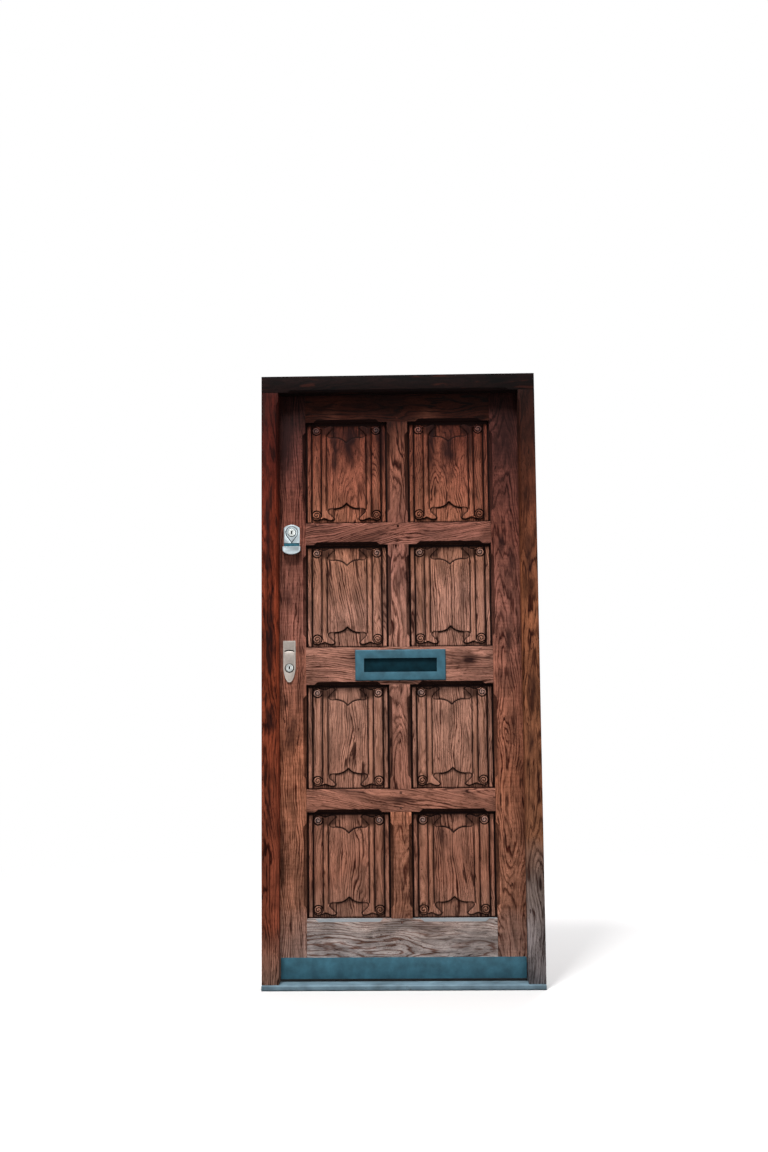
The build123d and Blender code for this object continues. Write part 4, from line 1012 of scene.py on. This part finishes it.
# Deadlock cover plate
# Cast zinc, dull warm grey, with a raised rim, sides that curve in to a round tip, and a thumb
# scoop above the cylinder that catches the light.
cover_half = 0.021
cover_top = deadlock_z + 0.092
flank = [(cover_half, 0.002), (0.0200, -0.010), (0.0178, -0.021), (0.0146, -0.032), (0.0108, -0.041),
         (0.0066, -0.0467), (0.0, -0.049)]
flank = [(float(x), deadlock_z + float(z)) for x, z in rounded_line(flank, 4)]
outline = [(deadlock_x + cover_half, cover_top), (deadlock_x - cover_half, cover_top)]
outline += [(deadlock_x - x, z) for x, z in flank]
outline += [(deadlock_x + x, z) for x, z in reversed(flank[:-1])]
cover = cut_plate("deadlock_cover_plate", outline, leaf_face, cover_front)
select_only(cover)
bpy.ops.object.mode_set(mode="EDIT")
bpy.ops.mesh.select_all(action="DESELECT")
bpy.ops.object.mode_set(mode="OBJECT")
for face in cover.data.polygons:
    face.select = face.normal.y < -0.9
bpy.ops.object.mode_set(mode="EDIT")
bpy.ops.mesh.select_mode(type="FACE")
bpy.ops.mesh.inset(thickness=0.0036, depth=0)
bpy.ops.transform.translate(value=(0, 0.0008, 0))
bpy.ops.object.mode_set(mode="OBJECT")

# The scoop slopes in from its foot and ends under an arched shadow line
scoop_foot = deadlock_z + 0.044
scoop_side = deadlock_z + 0.058
scoop_half = 0.0165
off_cover = cover_front - 0.002
arch = [(deadlock_x + scoop_half, scoop_side)]
arch += bow(arch[0], (deadlock_x - scoop_half, scoop_side), 0.0035, 14)
scoop = [(deadlock_x + scoop_half, scoop_foot)] + arch + [(deadlock_x - scoop_half, scoop_foot)]
scoop = cut_plate("scoop", scoop, cover_front + 0.0030, off_cover)
for vertex in scoop.data.vertices:
    if vertex.co.y > cover_front and vertex.co.z < scoop_foot + 0.001:
        vertex.co.y = cover_front + 0.0008
combine(cover, scoop, "DIFFERENCE")
shadow = arch + [(x, z - 0.0040) for x, z in reversed(arch)]
cut_away(cover, shadow, cover_front + 0.0036, off_cover)
cut_away(cover, around(deadlock_x, deadlock_z - 0.0011, 0.0158), cover_front + 0.002, off_cover)
cut_away(cover, around(deadlock_x, deadlock_z, 0.01301), leaf_face + 0.001, cover_front)
round_edges(cover, 0.0004, 2)


def cover_soot_and_shade(middle, normal):
    """Painted shade on the scoop's edge and in the ring groove, and a field a little greyer than the rim."""
    from_ring = (middle.xz - Vector((deadlock_x, deadlock_z))).length
    if 0.03 < abs(normal.z) < 0.3 and normal.y < 0 and middle.z > scoop_foot:
        return 0.0
    if middle.y > cover_front + 0.0014 and from_ring < 0.0175:
        return 0.9
    in_scoop = middle.z > scoop_side - 0.0032 and abs(middle.x - deadlock_x) < scoop_half
    if middle.y > cover_front + 0.0022 and in_scoop:
        return 0.95
    return 0.1 if normal.y < -0.9 and middle.y > cover_front + 0.0005 else 0.0


soot_and_shade(cover, cover_soot_and_shade)
# Bare cast zinc gone dull: a warm grey with no shine to speak of
cast_zinc = metal("dull cast zinc", "#a39b94", "#938b84", 0.5, 0.5)
fit(cover, "leaf", "grey_lock", cast_zinc, "deadlock_cover")


# Screws, tacks and nuts
# Slotted countersunk screws of plated steel or brass, set flush in their plates with their slots
# turned every way, a row of old tacks down the lock stile, and two domed brass nuts that hold the
# letter plate on its inner frame.
def set_out(piece, name, places, direction, first_turn=0, next_turn=0):
    """Copies a piece to places, its top facing one way and each turned on further, and joins them."""
    facing = Vector(direction).to_track_quat("Z", "Y").to_matrix().to_4x4()
    copies = []
    for count, place in enumerate(places):
        copy = new_object(name, piece.data.copy())
        turned = Matrix.Rotation(first_turn + next_turn * count, 4, "Z")
        copy.data.transform(Matrix.Translation(place) @ facing @ turned)
        copies.append(copy)
    bpy.data.objects.remove(piece)
    select_only(copies[0])
    for copy in copies[1:]:
        copy.select_set(True)
    bpy.ops.object.join()
    return copies[0]


def screws(name, places, direction, radius, body, slot, material):
    """Slotted screw heads at places, facing one way."""
    proud = 0.0003
    depth = 0.002
    head = new_shape(bpy.ops.mesh.primitive_cylinder_add, vertices=28, radius=radius, depth=depth,
                     location=(0, 0, proud - depth / 2))
    blade = new_shape(bpy.ops.mesh.primitive_cube_add, size=1, scale=(radius * 2.4, radius * 0.26, 0.0016),
                      location=(0, 0, proud))
    combine(head, blade, "DIFFERENCE")
    round_edges(head, radius * 0.08, 2)
    fit(set_out(head, name, places, direction, first_turn=0.9, next_turn=1.7), body, slot, material)


def on_hinges(x, depths):
    """Places for three screws in each hinge flap, set zigzag across it."""
    heights = (0.016, 0.051, 0.086)
    return [(x, y, foot + z) for foot in (0.252, 1.004, 1.756) for y, z in zip(depths, heights)]


screws("jamb_hinge_screws", on_hinges(0.422, (0.026, 0.037, 0.026)), (-1, 0, 0), 0.004,
       "frame", "steel_hinge", hinge_steel)
screws("leaf_hinge_screws", on_hinges(0.419, (0.037, 0.026, 0.037)), (1, 0, 0), 0.004,
       "leaf", "steel_hinge", hinge_steel)
screws("faceplate_screws", [(-0.419, 0.0245, z) for z in (1.013, 1.149)], (-1, 0, 0), 0.0035,
       "leaf", "lock_steel", plated_steel)
screws("strike_screws", [(-0.422, 0.0245, z) for z in (1.028, 1.136)], (1, 0, 0), 0.003,
       "frame", "lock_steel", plated_steel)
screws("keep_screws", [(-0.436, 0.0500, z) for z in (1.480, 1.562)], (0, 1, 0), 0.004,
       "frame", "inner_brass", brass)
screws("latch_case_screws", [(-0.411, 0.0725, z) for z in (1.494, 1.548)], (0, 1, 0), 0.003,
       "leaf", "inner_brass", brass)
screws("turn_plate_screws", [(deadlock_x, 0.0505, deadlock_z + z) for z in (-0.033, 0.033)], (0, 1, 0), 0.003,
       "leaf", "inner_brass", brass)

# Rust has eaten the tacks' iron to dull brown-black dots
rusted_iron = metal("rusted iron", "#33231d", "#1c120e", 0.6, 0.5)
tack = new_shape(bpy.ops.mesh.primitive_cylinder_add, vertices=14, radius=0.0018, depth=0.0016)
round_edges(tack, 0.0006, 3)
tack_places = [(-0.3335, leaf_face, 1.632 + 0.0165 * step + 0.003 * sin(2.1 * step)) for step in range(14)]
fit(set_out(tack, "old_tacks", tack_places, (0, -1, 0)), "leaf", "steel_hinge", rusted_iron)

# The nuts are hexagons with a round cap; the rear of each sinks a little into the inner frame
nut = new_shape(bpy.ops.mesh.primitive_cylinder_add, vertices=6, radius=0.0058, depth=0.0036,
                location=(0, 0, 0.0016))
cap = new_shape(bpy.ops.mesh.primitive_uv_sphere_add, segments=24, ring_count=12, radius=0.0040,
                location=(0, 0, 0.0030))
combine(nut, cap)
round_edges(nut, 0.0002, 2)
nut_places = [(x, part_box("inner_letter_frame")[1].y, 1.0645) for x in (-0.1385, 0.1385)]
fit(set_out(nut, "letter_plate_nuts", nut_places, (0, 1, 0)), "leaf", "inner_brass", brass)
